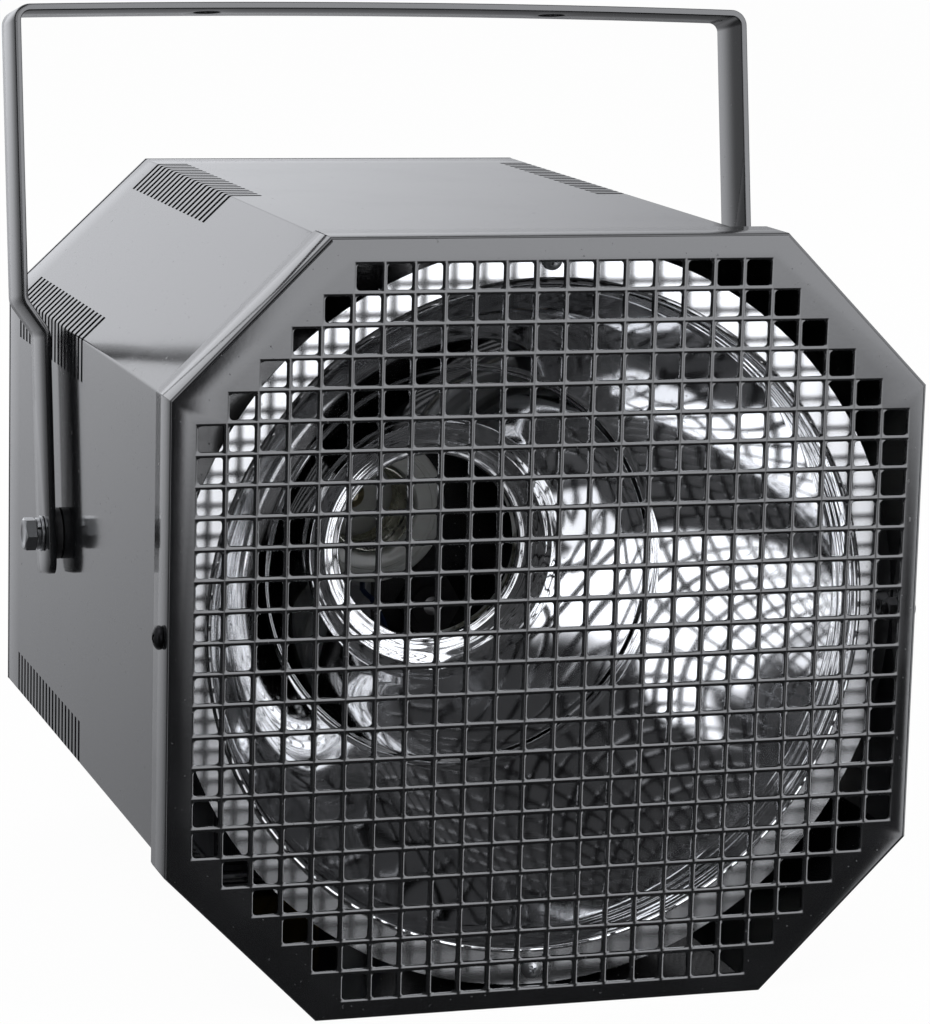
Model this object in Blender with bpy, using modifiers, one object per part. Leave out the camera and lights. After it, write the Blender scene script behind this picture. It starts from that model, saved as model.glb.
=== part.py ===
"""Blacklight floodlight: an octagonal sheet-steel housing with a punched front frame, a spun
aluminium reflector, a screw lampholder with its control gear, and a flat-bar yoke that tilts.

Metres, +Z up. The front faces -Y. The origin is under the middle of the box round the whole
floodlight, level with the bottom edge of its front frame.
Depths are measured backwards from the front face, and heights upwards from the lamp axis.
"""
import math

import bmesh
import bpy
from mathutils import Matrix, Vector

MM = 0.001
SEAT_GAP = 0.3 * MM          # left between pieces that touch
BORE_GAP = 0.4 * MM          # radial clearance of a screw in its hole
THREAD_GAP = 0.15 * MM       # radial clearance of a screw in its nut

# Housing: one folded sheet, eight sides, open at the front, with a lip turned in at the rear
HOUSING_WIDTH = 298.0 * MM   # across the upright sides
HOUSING_HEIGHT = 298.0 * MM  # over the top and bottom
SIDE_FLAT = 179.6 * MM       # height of an upright side between its bends
TOP_FLAT = 174.0 * MM        # width of the top or bottom between its bends
HOUSING_SHEET = 1.2 * MM
OVERALL_DEPTH = 339.2 * MM   # front face to rear cover
REAR_LIP = 14.0 * MM
COVER_SHEET = 1.2 * MM

# Ventilation slots across every bend, near the rear
SLOT_COUNT = 20
SLOT_PITCH = 7.05 * MM
SLOT_WIDTH = 3.4 * MM
SLOT_REACH = 15.2 * MM       # from the bend along either side
SLOT_REAR = 26.25 * MM       # last slot to the housing's rear edge

# Front frame: a folded pan whose face is the grille
FRAME_WIDTH = 304.2 * MM
FRAME_FLAT = 183.4 * MM
FRAME_SHEET = 1.5 * MM
FRAME_DEPTH = 24.8 * MM
FRAME_STANDOFF = 0.6 * MM    # face of the grille to the front edge of the housing
FRAME_SCREW_DEPTH = 10.5 * MM

# Grille: square holes on a square pitch, stepped in at the corners
GRILLE_PITCH = 12.0 * MM
GRILLE_HOLE = 10.2 * MM
GRILLE_CELLS = 24
GRILLE_STEPS = 5             # rows that shorten by one cell at each end
GRILLE_SHIFT = (1.4 * MM, -1.0 * MM)   # the pattern sits this far right of and above centre

# Reflector: flat rim, parabolic bowl with a raised step, neck ring with a rolled collar
RIM_RADIUS = 147.4 * MM
RIM_DEPTH = 15.0 * MM
BOWL_RADIUS = 132.0 * MM
NECK_RADIUS = 46.0 * MM
NECK_DEPTH = 171.0 * MM
LAMP_HOLE_RADIUS = 39.5 * MM
COLLAR_LENGTH = 6.0 * MM
REFLECTOR_SHEET = 1.0 * MM
BOWL_STEP_DEPTH = 118.0 * MM
BOWL_STEP_RISE = 1.6 * MM
BOWL_STATIONS = 6
REFLECTOR_SCREW_RADIUS = 141.0 * MM    # from the lamp axis
TAB_WIDTH = 22.0 * MM
TAB_SHEET = 1.5 * MM
TAB_FOOT = 20.0 * MM
TAB_RISE = 13.0 * MM

# Lampholder: glazed porcelain with a screw shell for a 40 mm lamp cap
HOLDER_CLEARANCE = 20.0 * MM   # holder's back to the inside of the rear cover
HOLDER_RADIUS = 34.0 * MM
HOLDER_SKIRT = 51.0 * MM
HOLDER_BACK_RADIUS = 25.0 * MM
HOLDER_LENGTH = 63.0 * MM
SHELL_RADIUS = 19.9 * MM
SHELL_WALL = 0.6 * MM
SHELL_LENGTH = 31.0 * MM
SHELL_SETBACK = 5.0 * MM
CONTACT_RADIUS = 6.5 * MM
CONTACT_HEIGHT = 3.0 * MM
HOLDER_SCREW_SPACING = 30.0 * MM
BRACKET_SHEET = 1.5 * MM
BRACKET_HEAD = 60.0 * MM
BRACKET_COLUMN = 36.0 * MM
BRACKET_FOOT = 20.0 * MM

# Control gear on a tray behind the reflector
TRAY_WIDTH = 168.0 * MM
TRAY_LENGTH = 148.2 * MM
TRAY_SHEET = 1.5 * MM
TRAY_FLANGE = 30.0 * MM
TRAY_SCREW_SPACING = 110.0 * MM
BALLAST_WIDTH = 58.0 * MM
BALLAST_HEIGHT = 60.0 * MM
BALLAST_LENGTH = 92.0 * MM
BALLAST_X = -54.0 * MM
BALLAST_SETBACK = 18.0 * MM  # behind the tray's front edge, as for the two below
BALLAST_FOOT = 14.0 * MM
BALLAST_FOOT_SHEET = 2.5 * MM
COIL_WIDTH = 34.0 * MM
COIL_HEIGHT = 40.0 * MM
COIL_OVERHANG = 8.0 * MM
CAPACITOR_RADIUS = 20.0 * MM
CAPACITOR_LENGTH = 94.0 * MM
CAPACITOR_X = 48.0 * MM
CAPACITOR_SETBACK = 4.0 * MM
CLIP_WALL = 1.8 * MM
CLIP_WIDTH = 22.0 * MM
CLIP_BASE = 3.0 * MM
CLIP_MOUTH_ANGLE = 100.0
TERMINAL_SIZE = (34.0 * MM, 16.0 * MM, 15.0 * MM)
TERMINAL_X = 50.0 * MM
TERMINAL_SETBACK = 112.0 * MM
TERMINAL_POLES = 3
TERMINAL_BORE = 2.0 * MM
TERMINAL_DROP = -2.2 * MM    # bores for the leads, below the block's middle
EARTH_SCREW_X = 26.0 * MM
LEAD_RADIUS = 1.3 * MM
LEAD_INSERT = 4.0 * MM       # into the terminal block
LEAD_STRAIGHT = 6.0 * MM     # straight out of the terminal block
LEAD_STANDOFF = 8.0 * MM     # straight out of the ballast
LEAD_DROP = 12.0 * MM        # straight down from the lampholder
LEAD_SPACING = 16.0 * MM     # between the two leads at the lampholder
LEAD_BOW = 10.0 * MM         # how far the neutral swings out on its way up
FEED_PLACE = (14.0 * MM, 20.0 * MM)    # on the ballast, from its rear and from its top
LIVE_PLACE = (32.0 * MM, 12.0 * MM)

# Cable gland in the rear cover
GLAND_PLACE = (52.0 * MM, -62.0 * MM)  # right of and above the lamp axis
GLAND_THREAD = 10.0 * MM
GLAND_BORE = 4.5 * MM
GLAND_FLATS = 24.0 * MM
GLAND_HEX = 6.0 * MM
GLAND_DOME = 17.0 * MM
GLAND_NUT = 5.0 * MM

# Yoke: one flat bar bent to a U, joggled inwards above the pivots
YOKE_BAR = 30.0 * MM
YOKE_THICK = 3.0 * MM
YOKE_CLEARANCE = 16.5 * MM   # housing side to the outside of the bar, at the top
YOKE_REACH = 224.3 * MM      # pivot to the outside of the top bar, at its ends
YOKE_CROWN = 2.0 * MM        # rise of the top bar's middle over its ends
CROWN_SPANS = 9              # odd, so that the middle of the top bar is flat
YOKE_END = 17.0 * MM         # pivot to the end of an arm
YOKE_END_RADIUS = 6.0 * MM
YOKE_CORNER = 7.0 * MM       # outside radius of the top bends
YOKE_JOGGLE_LOW = 85.6 * MM
YOKE_JOGGLE_HIGH = 99.2 * MM
YOKE_HOLE_RADIUS = 6.0 * MM
YOKE_HOLE_SPACING = 157.0 * MM
YOKE_REST_TILT = 9.5         # degrees, backwards from upright
PIVOT_DEPTH = 222.0 * MM
SPACER_LENGTH = 3.6 * MM
SPACER_RADIUS = 11.0 * MM
PLATE_SIZE = 44.0 * MM
PLATE_SHEET = 2.0 * MM


class Thread:
    """A metric screw size: shank radius, head and nut measures."""

    def __init__(self, radius, head_radius, head_height, flats, nut_height):
        self.radius = radius * MM
        self.head_radius = head_radius * MM
        self.head_height = head_height * MM
        self.flats = flats * MM
        self.nut_height = nut_height * MM


M4 = Thread(2.0, 4.0, 2.4, 7.0, 3.2)
M5 = Thread(2.5, 4.7, 3.3, 8.0, 4.0)
M8 = Thread(4.0, 6.5, 5.0, 13.0, 6.5)
BOLT_LENGTH = 25.0 * MM
WASHER_RADIUS = 7.6 * MM
WASHER_SHEET = 1.0 * MM
SPRING_RADIUS = 6.8 * MM
SPRING_HEIGHT = 1.6 * MM
SPRING_SLIT = 1.2 * MM
SHORT_SCREW = 8.0 * MM
FRAME_SCREW = 10.0 * MM

# Places that follow from the sizes
HALF_WIDTH = HOUSING_WIDTH / 2
HALF_HEIGHT = HOUSING_HEIGHT / 2
HOUSING_FRONT = FRAME_SHEET + FRAME_STANDOFF
COVER_FACE = OVERALL_DEPTH - COVER_SHEET
HOUSING_REAR = COVER_FACE - SEAT_GAP
LIP_FACE = HOUSING_REAR - HOUSING_SHEET
MIDDLE_DEPTH = (OVERALL_DEPTH + SEAT_GAP + GLAND_HEX + GLAND_DOME) / 2
AXIS_HEIGHT = FRAME_WIDTH / 2          # the front frame's bottom edge is the lowest
FIRST_SLOT = HOUSING_REAR - SLOT_REAR - (SLOT_COUNT - 1) * SLOT_PITCH
FLOOR = -HALF_HEIGHT + HOUSING_SHEET
TRAY_TOP = FLOOR + SEAT_GAP + TRAY_SHEET
TRAY_REAR = LIP_FACE - SEAT_GAP
TRAY_START = TRAY_REAR - TRAY_LENGTH
BALLAST_START = TRAY_START + BALLAST_SETBACK
CAPACITOR_START = TRAY_START + CAPACITOR_SETBACK
TERMINAL_START = TRAY_START + TERMINAL_SETBACK
HOLDER_REAR = COVER_FACE - HOLDER_CLEARANCE
HOLDER_MOUTH = HOLDER_REAR - HOLDER_LENGTH
BRACKET_FACE = HOLDER_REAR + SEAT_GAP
YOKE_FOOT = SEAT_GAP + SPACER_LENGTH + SEAT_GAP   # housing side to the inside of an arm
YOKE_WIDTH = HOUSING_WIDTH + 2 * YOKE_CLEARANCE

# Finishes: colour, roughness, metallic
BLACK_PAINT = ((0.045, 0.046, 0.050), 0.16, 0.0)
MIRROR_ALUMINIUM = ((0.86, 0.87, 0.88), 0.07, 1.0)
ZINC = ((0.62, 0.64, 0.66), 0.32, 1.0)
BLACKENED_STEEL = ((0.030, 0.030, 0.032), 0.30, 1.0)
GALVANISED = ((0.55, 0.57, 0.58), 0.45, 1.0)
PORCELAIN = ((0.86, 0.85, 0.82), 0.18, 0.0)
NICKEL_BRASS = ((0.62, 0.58, 0.46), 0.28, 1.0)
LAMINATED_STEEL = ((0.20, 0.21, 0.23), 0.50, 1.0)
COIL_TAPE = ((0.40, 0.26, 0.08), 0.55, 0.0)
CAN_ALUMINIUM = ((0.70, 0.71, 0.72), 0.40, 1.0)
BLACK_NYLON = ((0.025, 0.025, 0.027), 0.50, 0.0)
WHITE_PLASTIC = ((0.80, 0.79, 0.75), 0.45, 0.0)
BROWN_LEAD = ((0.16, 0.07, 0.03), 0.45, 0.0)
BLUE_LEAD = ((0.04, 0.13, 0.42), 0.45, 0.0)

# Orientations: which way an outline drawn in local X and Y faces
FACING_FRONT = (math.radians(90), 0.0, 0.0)                 # X right, Y up, thickness forwards
FACING_SIDE = (math.radians(90), 0.0, math.radians(90))     # X rearwards, Y up, thickness right
ALONG_LAMP = (math.radians(-90), 0.0, 0.0)                  # local Z runs rearwards
UPRIGHT = (0.0, 0.0, 0.0)


def clear_scene():
    """Remove every object of the open scene."""
    for item in list(bpy.data.objects):
        bpy.data.objects.remove(item, do_unlink=True)


def new_collection(name):
    """Add a collection to the scene."""
    collection = bpy.data.collections.new(name)
    bpy.context.scene.collection.children.link(collection)
    return collection


clear_scene()
PARTS = new_collection("Blacklight floodlight")
CUTTERS = new_collection("Cutters")


def at(x, depth, height):
    """Turn a place right of, behind and above the front face's centre into world coordinates."""
    return Vector((x, depth - MIDDLE_DEPTH, AXIS_HEIGHT + height))


def new_empty(name, location, rotation=UPRIGHT):
    """Add an empty that pieces are parented to."""
    empty = bpy.data.objects.new(name, None)
    empty.location = location
    empty.rotation_euler = rotation
    PARTS.objects.link(empty)
    return empty


def add_piece(name, mesh, finish, location=(0, 0, 0), rotation=UPRIGHT, parent=None):
    """Add a named piece with a material of its own."""
    piece = bpy.data.objects.new(name, mesh)
    piece.location = location
    piece.rotation_euler = rotation
    piece.parent = parent
    PARTS.objects.link(piece)
    colour, roughness, metallic = finish
    material = bpy.data.materials.new(name)
    material.use_nodes = True
    shader = material.node_tree.nodes["Principled BSDF"]
    shader.inputs["Base Color"].default_value = (*colour, 1.0)
    shader.inputs["Roughness"].default_value = roughness
    shader.inputs["Metallic"].default_value = metallic
    if not mesh.materials:
        mesh.materials.append(None)
    piece.material_slots[0].link = "OBJECT"
    piece.material_slots[0].material = material
    return piece


def add_cutter(mesh, location=(0, 0, 0), rotation=UPRIGHT, parent=None):
    """Add a guide solid for a Boolean, drawn as wire and left out of the model."""
    cutter = bpy.data.objects.new("cutter", mesh)
    cutter.location = location
    cutter.rotation_euler = rotation
    cutter.parent = parent
    cutter.hide_render = True
    cutter.display_type = "WIRE"
    CUTTERS.objects.link(cutter)
    return cutter


def boolean(target, cutter, operation="DIFFERENCE"):
    """Cut the cutter out of the target, or join it on."""
    modifier = target.modifiers.new(operation.title(), "BOOLEAN")
    modifier.operation = operation
    modifier.solver = "EXACT"
    modifier.object = cutter


def evaluated_mesh(source):
    """Return a new mesh of an object with its modifiers applied."""
    bpy.context.view_layer.update()
    graph = bpy.context.evaluated_depsgraph_get()
    return bpy.data.meshes.new_from_object(source.evaluated_get(graph))


def tidy_mesh(mesh, smooth_angle=None):
    """Weld a mesh, turn its faces outwards, and shade it smooth below the given angle."""
    work = bmesh.new()
    work.from_mesh(mesh)
    bmesh.ops.remove_doubles(work, verts=work.verts, dist=0.001 * MM)
    bmesh.ops.recalc_face_normals(work, faces=work.faces)
    work.to_mesh(mesh)
    work.free()
    if smooth_angle is not None:
        mesh.shade_smooth()
        mesh.set_sharp_from_angle(angle=math.radians(smooth_angle))
    return mesh


def box_mesh(size, centre=(0, 0, 0)):
    """A box of the given size about a centre."""
    work = bmesh.new()
    matrix = Matrix.Translation(centre) @ Matrix.Diagonal((*size, 1.0))
    bmesh.ops.create_cube(work, size=1.0, matrix=matrix)
    mesh = bpy.data.meshes.new("box")
    work.to_mesh(mesh)
    work.free()
    return mesh


def prism_mesh(radius, start, end, sides=16, tip_radius=None, turn=0.0):
    """A cylinder, cone or regular prism about local Z, from start to end."""
    work = bmesh.new()
    matrix = Matrix.Translation((0, 0, (start + end) / 2)) @ Matrix.Rotation(turn, 4, "Z")
    bmesh.ops.create_cone(
        work, cap_ends=True, cap_tris=False, segments=sides, radius1=radius,
        radius2=radius if tip_radius is None else tip_radius, depth=end - start, matrix=matrix)
    mesh = bpy.data.meshes.new("prism")
    work.to_mesh(mesh)
    work.free()
    return mesh


def hexagon_mesh(flats, start, end):
    """A hexagonal prism about local Z, its flats facing local Y."""
    return prism_mesh(flats / math.sqrt(3), start, end, sides=6, turn=math.radians(30))


def outline_mesh(outlines, thickness):
    """A flat plate from closed outlines in local X and Y; inner outlines are holes.

    Its thickness runs from 0 up local Z.
    """
    curve = bpy.data.curves.new("outline", "CURVE")
    curve.dimensions = "2D"
    curve.fill_mode = "BOTH"
    curve.extrude = thickness / 2
    for outline in outlines:
        spline = curve.splines.new("POLY")
        spline.points.add(len(outline) - 1)
        for point, (x, y) in zip(spline.points, outline):
            point.co = (x, y, 0.0, 1.0)
        spline.use_cyclic_u = True
    holder = bpy.data.objects.new("outline", curve)
    CUTTERS.objects.link(holder)
    mesh = evaluated_mesh(holder)
    bpy.data.objects.remove(holder)
    mesh.transform(Matrix.Translation((0, 0, thickness / 2)))
    return tidy_mesh(mesh)


def turned_mesh(profile, steps, smooth_angle=40):
    """A solid turned about local Z from a closed profile of (radius, height) points."""
    area = sum(a[0] * b[1] - b[0] * a[1] for a, b in zip(profile, profile[1:] + profile[:1]))
    points = list(reversed(profile)) if area > 0 else list(profile)
    mesh = bpy.data.meshes.new("turned")
    edges = [(i, (i + 1) % len(points)) for i in range(len(points))]
    on_axis = [i for i, (radius, _) in enumerate(points) if radius == 0.0]
    if on_axis:
        edges = [edge for edge in edges if not set(edge) <= set(on_axis)]
    mesh.from_pydata([(radius, 0.0, height) for radius, height in points], edges, [])
    holder = bpy.data.objects.new("turned", mesh)
    CUTTERS.objects.link(holder)
    screw = holder.modifiers.new("Screw", "SCREW")
    screw.axis = "Z"
    screw.steps = steps
    screw.render_steps = steps
    screw.use_merge_vertices = True
    screw.merge_threshold = 0.001 * MM
    result = evaluated_mesh(holder)
    bpy.data.objects.remove(holder)
    return tidy_mesh(result, smooth_angle)


def tube_mesh(points, radius):
    """A round lead along a smooth route through the given world points."""
    curve = bpy.data.curves.new("lead", "CURVE")
    curve.dimensions = "3D"
    curve.bevel_depth = radius
    curve.bevel_resolution = 1
    curve.use_fill_caps = True
    route = smooth_route(points, 3)
    spline = curve.splines.new("POLY")
    spline.points.add(len(route) - 1)
    for point, place in zip(spline.points, route):
        point.co = (*place, 1.0)
    holder = bpy.data.objects.new("lead", curve)
    CUTTERS.objects.link(holder)
    mesh = evaluated_mesh(holder)
    bpy.data.objects.remove(holder)
    return tidy_mesh(mesh, 60)


def smooth_route(points, steps):
    """Points along a Catmull-Rom curve through the given ones, with straight end spans."""
    route = [points[0]]
    for a, b, c, d in zip(points, points[1:], points[2:], points[3:]):
        for i in range(steps):
            t = i / steps
            route.append(0.5 * (2 * b + (c - a) * t + (2 * a - 5 * b + 4 * c - d) * t ** 2
                                + (3 * b - 3 * c + d - a) * t ** 3))
    return route + list(points[-2:])


def combine(mesh, cutters=(), joins=()):
    """Return a mesh with others, as (mesh, location, rotation), joined on and then cut out."""
    holder = add_cutter(mesh)
    helpers = []
    for items, operation in ((joins, "UNION"), (cutters, "DIFFERENCE")):
        for other, location, rotation in items:
            helpers.append(add_cutter(other, location, rotation))
            boolean(holder, helpers[-1], operation)
    result = evaluated_mesh(holder)
    for helper in helpers + [holder]:
        bpy.data.objects.remove(helper)
    return tidy_mesh(result)


def octagon(half_width, half_height, half_side, half_top):
    """Corners of an octagon with upright sides, a level top and bottom, and corner sides."""
    quarter = [(half_width, half_side), (half_top, half_height)]
    upper = quarter + [(-x, y) for x, y in reversed(quarter)]
    return upper + [(-x, -y) for x, y in upper]


def housing_outline(inset=0.0):
    """The housing's outline in X and Y, moved inwards by a distance."""
    outline = octagon(HALF_WIDTH, HALF_HEIGHT, SIDE_FLAT / 2, TOP_FLAT / 2)
    return inset_outline(outline, inset)


def corner_directions(outline):
    """For each corner, the outward bisector and the sine and cosine of half the bend."""
    points = [Vector(point) for point in outline]
    found = []
    for before, point, after in zip(points[-1:] + points, points, points[1:] + points[:1]):
        into = (point - before).normalized()
        out = (after - point).normalized()
        bisector = (Vector((into.y, -into.x)) + Vector((out.y, -out.x))).normalized()
        found.append((point, bisector, bisector.dot(into), bisector.dot(Vector((into.y, -into.x)))))
    return found


def inset_outline(outline, distance):
    """A convex outline, drawn anticlockwise, moved inwards by the same distance on every side."""
    return [tuple(point - bisector * distance / cosine)
            for point, bisector, _, cosine in corner_directions(outline)]


def rectangle(x_low, x_high, y_low, y_high):
    """Corners of a rectangle."""
    return [(x_low, y_low), (x_high, y_low), (x_high, y_high), (x_low, y_high)]


def arc(centre, radius, start, end, steps):
    """Points on an arc, with the angles in degrees."""
    return [(centre[0] + radius * math.cos(math.radians(start + (end - start) * i / steps)),
             centre[1] + radius * math.sin(math.radians(start + (end - start) * i / steps)))
            for i in range(steps + 1)]


def screw_mesh(thread, length):
    """A pan-head screw with a cross recess; its head stands on local Z = 0, its shank below."""
    height = thread.head_height
    profile = [(0.0, height), (0.72 * thread.head_radius, height),
               (thread.head_radius, 0.6 * height), (thread.head_radius, 0.0),
               (thread.radius, 0.0), (thread.radius, -length), (0.0, -length)]
    recess = (1.1 * thread.head_radius, 0.24 * thread.head_radius, height)
    cuts = [(box_mesh(recess), (0, 0, 0.85 * height), (0, 0, math.radians(turn)))
            for turn in (45, 135)]
    return combine(turned_mesh(profile, 10), cuts)


def hex_nut_mesh(thread, flats=None, height=None):
    """A hexagonal nut standing on local Z = 0."""
    height = height or thread.nut_height
    bore = prism_mesh(thread.radius + THREAD_GAP, -MM, height + MM, sides=12)
    return combine(hexagon_mesh(flats or thread.flats, 0.0, height), [(bore, (0, 0, 0), UPRIGHT)])


def ring_mesh(inner, outer, height, steps=16):
    """A flat ring standing on local Z = 0."""
    return turned_mesh([(inner, 0.0), (outer, 0.0), (outer, height), (inner, height)], steps)


def through_bore(radius, length, sides=12):
    """A cutter for a round hole, about local Z."""
    return prism_mesh(radius, -length / 2, length / 2, sides=sides, turn=math.pi / sides)


def build_housing():
    """The folded shell with its rear lip, slots, pivot holes and front notches."""
    length = HOUSING_REAR - HOUSING_FRONT
    solid = outline_mesh([housing_outline()], length)
    hollow = outline_mesh([housing_outline(HOUSING_SHEET)], length + MM)
    mouth = outline_mesh([housing_outline(REAR_LIP)], length)
    front = at(0, HOUSING_FRONT, 0)
    shell = add_piece("housing_shell", solid, BLACK_PAINT, front, ALONG_LAMP)
    boolean(shell, add_cutter(hollow, front - Vector((0, HOUSING_SHEET + MM, 0)), ALONG_LAMP))
    boolean(shell, add_cutter(mouth, front + Vector((0, 10 * MM, 0)), ALONG_LAMP))
    boolean(shell, add_cutter(slot_cutters(), at(0, 0, 0), ALONG_LAMP))
    pivot = through_bore(M8.radius + BORE_GAP, HOUSING_WIDTH + 10 * MM)
    boolean(shell, add_cutter(pivot, at(0, PIVOT_DEPTH, 0), (0, math.radians(90), 0)))
    notch = M5.radius + BORE_GAP
    reach = FRAME_SCREW_DEPTH - HOUSING_FRONT + 2 * MM
    stadium = arc((0, 0), notch, 90, -90, 6) + [(-reach, -notch), (-reach, notch)]
    slot = outline_mesh([stadium], HOUSING_WIDTH + 10 * MM)
    boolean(shell, add_cutter(slot, at(-HALF_WIDTH - 5 * MM, FRAME_SCREW_DEPTH, 0), FACING_SIDE))
    for x, height in cover_screw_places() + tray_screw_places():
        hole = through_bore(M4.radius + THREAD_GAP, 6 * MM)
        boolean(shell, add_cutter(hole, at(x, HOUSING_REAR, height), ALONG_LAMP))


def slot_cutters():
    """Blocks that cut the ventilation slots across the eight bends."""
    work = bmesh.new()
    for point, bisector, sine, cosine in corner_directions(housing_outline()):
        span = 2 * SLOT_REACH * cosine
        drop = SLOT_REACH * sine + 2 * HOUSING_SHEET
        facing = Matrix.Rotation(math.atan2(bisector.y, bisector.x), 4, "Z")
        for i in range(SLOT_COUNT):
            depth = FIRST_SLOT + i * SLOT_PITCH
            matrix = (Matrix.Translation((*point, depth)) @ facing
                      @ Matrix.Translation((MM - drop / 2, 0, 0))
                      @ Matrix.Diagonal((drop + 2 * MM, span, SLOT_WIDTH, 1.0)))
            bmesh.ops.create_cube(work, size=1.0, matrix=matrix)
    mesh = bpy.data.meshes.new("slots")
    work.to_mesh(mesh)
    work.free()
    return mesh


def cover_screw_places():
    """Places of the rear cover's own screws on the lip."""
    inset = (REAR_LIP + HOUSING_SHEET) / 2
    return [(0.0, HALF_HEIGHT - inset), (inset - HALF_WIDTH, 0.0), (HALF_WIDTH - inset, 0.0)]


def tray_screw_places():
    """Places of the screws that hold cover, lip and tray together."""
    height = -HALF_HEIGHT + (REAR_LIP + HOUSING_SHEET) / 2
    return [(-TRAY_SCREW_SPACING / 2, height), (TRAY_SCREW_SPACING / 2, height)]


def build_rear_cover():
    """The flat rear cover with its screws, the cable gland and the gland's nut."""
    cover = add_piece("rear_cover", outline_mesh([housing_outline()], COVER_SHEET), BLACK_PAINT,
                      at(0, COVER_FACE, 0), ALONG_LAMP)
    gland_x, gland_height = GLAND_PLACE
    hole = through_bore(GLAND_THREAD + BORE_GAP, 8 * MM, sides=24)
    boolean(cover, add_cutter(hole, at(gland_x, COVER_FACE, gland_height), ALONG_LAMP))
    mesh = screw_mesh(M4, SHORT_SCREW)
    seat = OVERALL_DEPTH + SEAT_GAP
    names = ["cover_screw_top", "cover_screw_left", "cover_screw_right",
             "tray_screw_left", "tray_screw_right"]
    for name, (x, height) in zip(names, cover_screw_places() + tray_screw_places()):
        clearance = through_bore(M4.radius + BORE_GAP, 8 * MM)
        boolean(cover, add_cutter(clearance, at(x, COVER_FACE, height), ALONG_LAMP))
        add_piece(name, mesh, BLACKENED_STEEL, at(x, seat, height), ALONG_LAMP)
    inner_end = COVER_FACE - SEAT_GAP - GLAND_NUT - 2 * MM - seat
    thread = prism_mesh(GLAND_THREAD, inner_end, GLAND_HEX / 2, sides=20)
    top = GLAND_HEX + GLAND_DOME
    dome = turned_mesh([(0.0, GLAND_HEX / 2), (0.47 * GLAND_FLATS, GLAND_HEX / 2),
                        (0.47 * GLAND_FLATS, GLAND_HEX + 0.6 * GLAND_DOME),
                        (0.40 * GLAND_FLATS, GLAND_HEX + 0.85 * GLAND_DOME),
                        (0.30 * GLAND_FLATS, top), (0.0, top)], 20)
    bore = prism_mesh(GLAND_BORE, inner_end - MM, top + MM, sides=12)
    body = combine(hexagon_mesh(GLAND_FLATS, 0.0, GLAND_HEX), [(bore, (0, 0, 0), UPRIGHT)],
                   [(thread, (0, 0, 0), UPRIGHT), (dome, (0, 0, 0), UPRIGHT)])
    add_piece("cable_gland", body, BLACK_NYLON, at(gland_x, seat, gland_height), ALONG_LAMP)
    locknut = combine(hexagon_mesh(GLAND_FLATS + 2 * MM, 0.0, GLAND_NUT),
                      [(prism_mesh(GLAND_THREAD + THREAD_GAP, -MM, GLAND_NUT + MM, sides=24),
                        (0, 0, 0), UPRIGHT)])
    add_piece("gland_locknut", locknut, BLACK_NYLON,
              at(gland_x, COVER_FACE - SEAT_GAP - GLAND_NUT, gland_height), ALONG_LAMP)


def frame_outline():
    """The front frame's outline in X and Y."""
    return octagon(FRAME_WIDTH / 2, FRAME_WIDTH / 2, FRAME_FLAT / 2, FRAME_FLAT / 2)


def grille_outlines():
    """The frame's outline and every square hole, as seen from the front."""
    outlines = [frame_outline()]
    half = GRILLE_HOLE / 2
    for row in range(GRILLE_CELLS):
        from_edge = min(row, GRILLE_CELLS - 1 - row)
        missing = max(0, GRILLE_STEPS - from_edge)
        for column in range(missing, GRILLE_CELLS - missing):
            x = (column - (GRILLE_CELLS - 1) / 2) * GRILLE_PITCH + GRILLE_SHIFT[0]
            y = (row - (GRILLE_CELLS - 1) / 2) * GRILLE_PITCH + GRILLE_SHIFT[1]
            outlines.append(rectangle(x - half, x + half, y - half, y + half))
    return outlines


def build_front_frame():
    """The grille, its folded flange, and the screws and nuts at either side."""
    add_piece("front_grille", outline_mesh(grille_outlines(), FRAME_SHEET), BLACK_PAINT,
              at(0, FRAME_SHEET, 0), FACING_FRONT)
    start = FRAME_SHEET + SEAT_GAP
    ring = [frame_outline(), inset_outline(frame_outline(), FRAME_SHEET)]
    flange = add_piece("front_flange", outline_mesh(ring, FRAME_DEPTH - start), BLACK_PAINT,
                       at(0, start, 0), ALONG_LAMP)
    bore = through_bore(M5.radius + BORE_GAP, FRAME_WIDTH + 10 * MM)
    boolean(flange, add_cutter(bore, at(0, FRAME_SCREW_DEPTH, 0), (0, math.radians(90), 0)))
    screw = screw_mesh(M5, FRAME_SCREW)
    nut = hex_nut_mesh(M5)
    nut_seat = HALF_WIDTH - HOUSING_SHEET - SEAT_GAP - M5.nut_height
    for side, name in ((-1, "left"), (1, "right")):
        outward = (0, side * math.radians(90), 0)
        x = side * (FRAME_WIDTH / 2 + SEAT_GAP)
        add_piece(f"frame_screw_{name}", screw, BLACKENED_STEEL,
                  at(x, FRAME_SCREW_DEPTH, 0), outward)
        add_piece(f"frame_nut_{name}", nut, ZINC,
                  at(side * nut_seat, FRAME_SCREW_DEPTH, 0), outward)


def bowl_radius(depth):
    """Inside radius of the parabolic bowl at a depth."""
    start = RIM_DEPTH + REFLECTOR_SHEET
    share = (depth - start) / (NECK_DEPTH - start)
    square = BOWL_RADIUS ** 2 + (NECK_RADIUS ** 2 - BOWL_RADIUS ** 2) * share
    return math.sqrt(max(square, 0.0))


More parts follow.
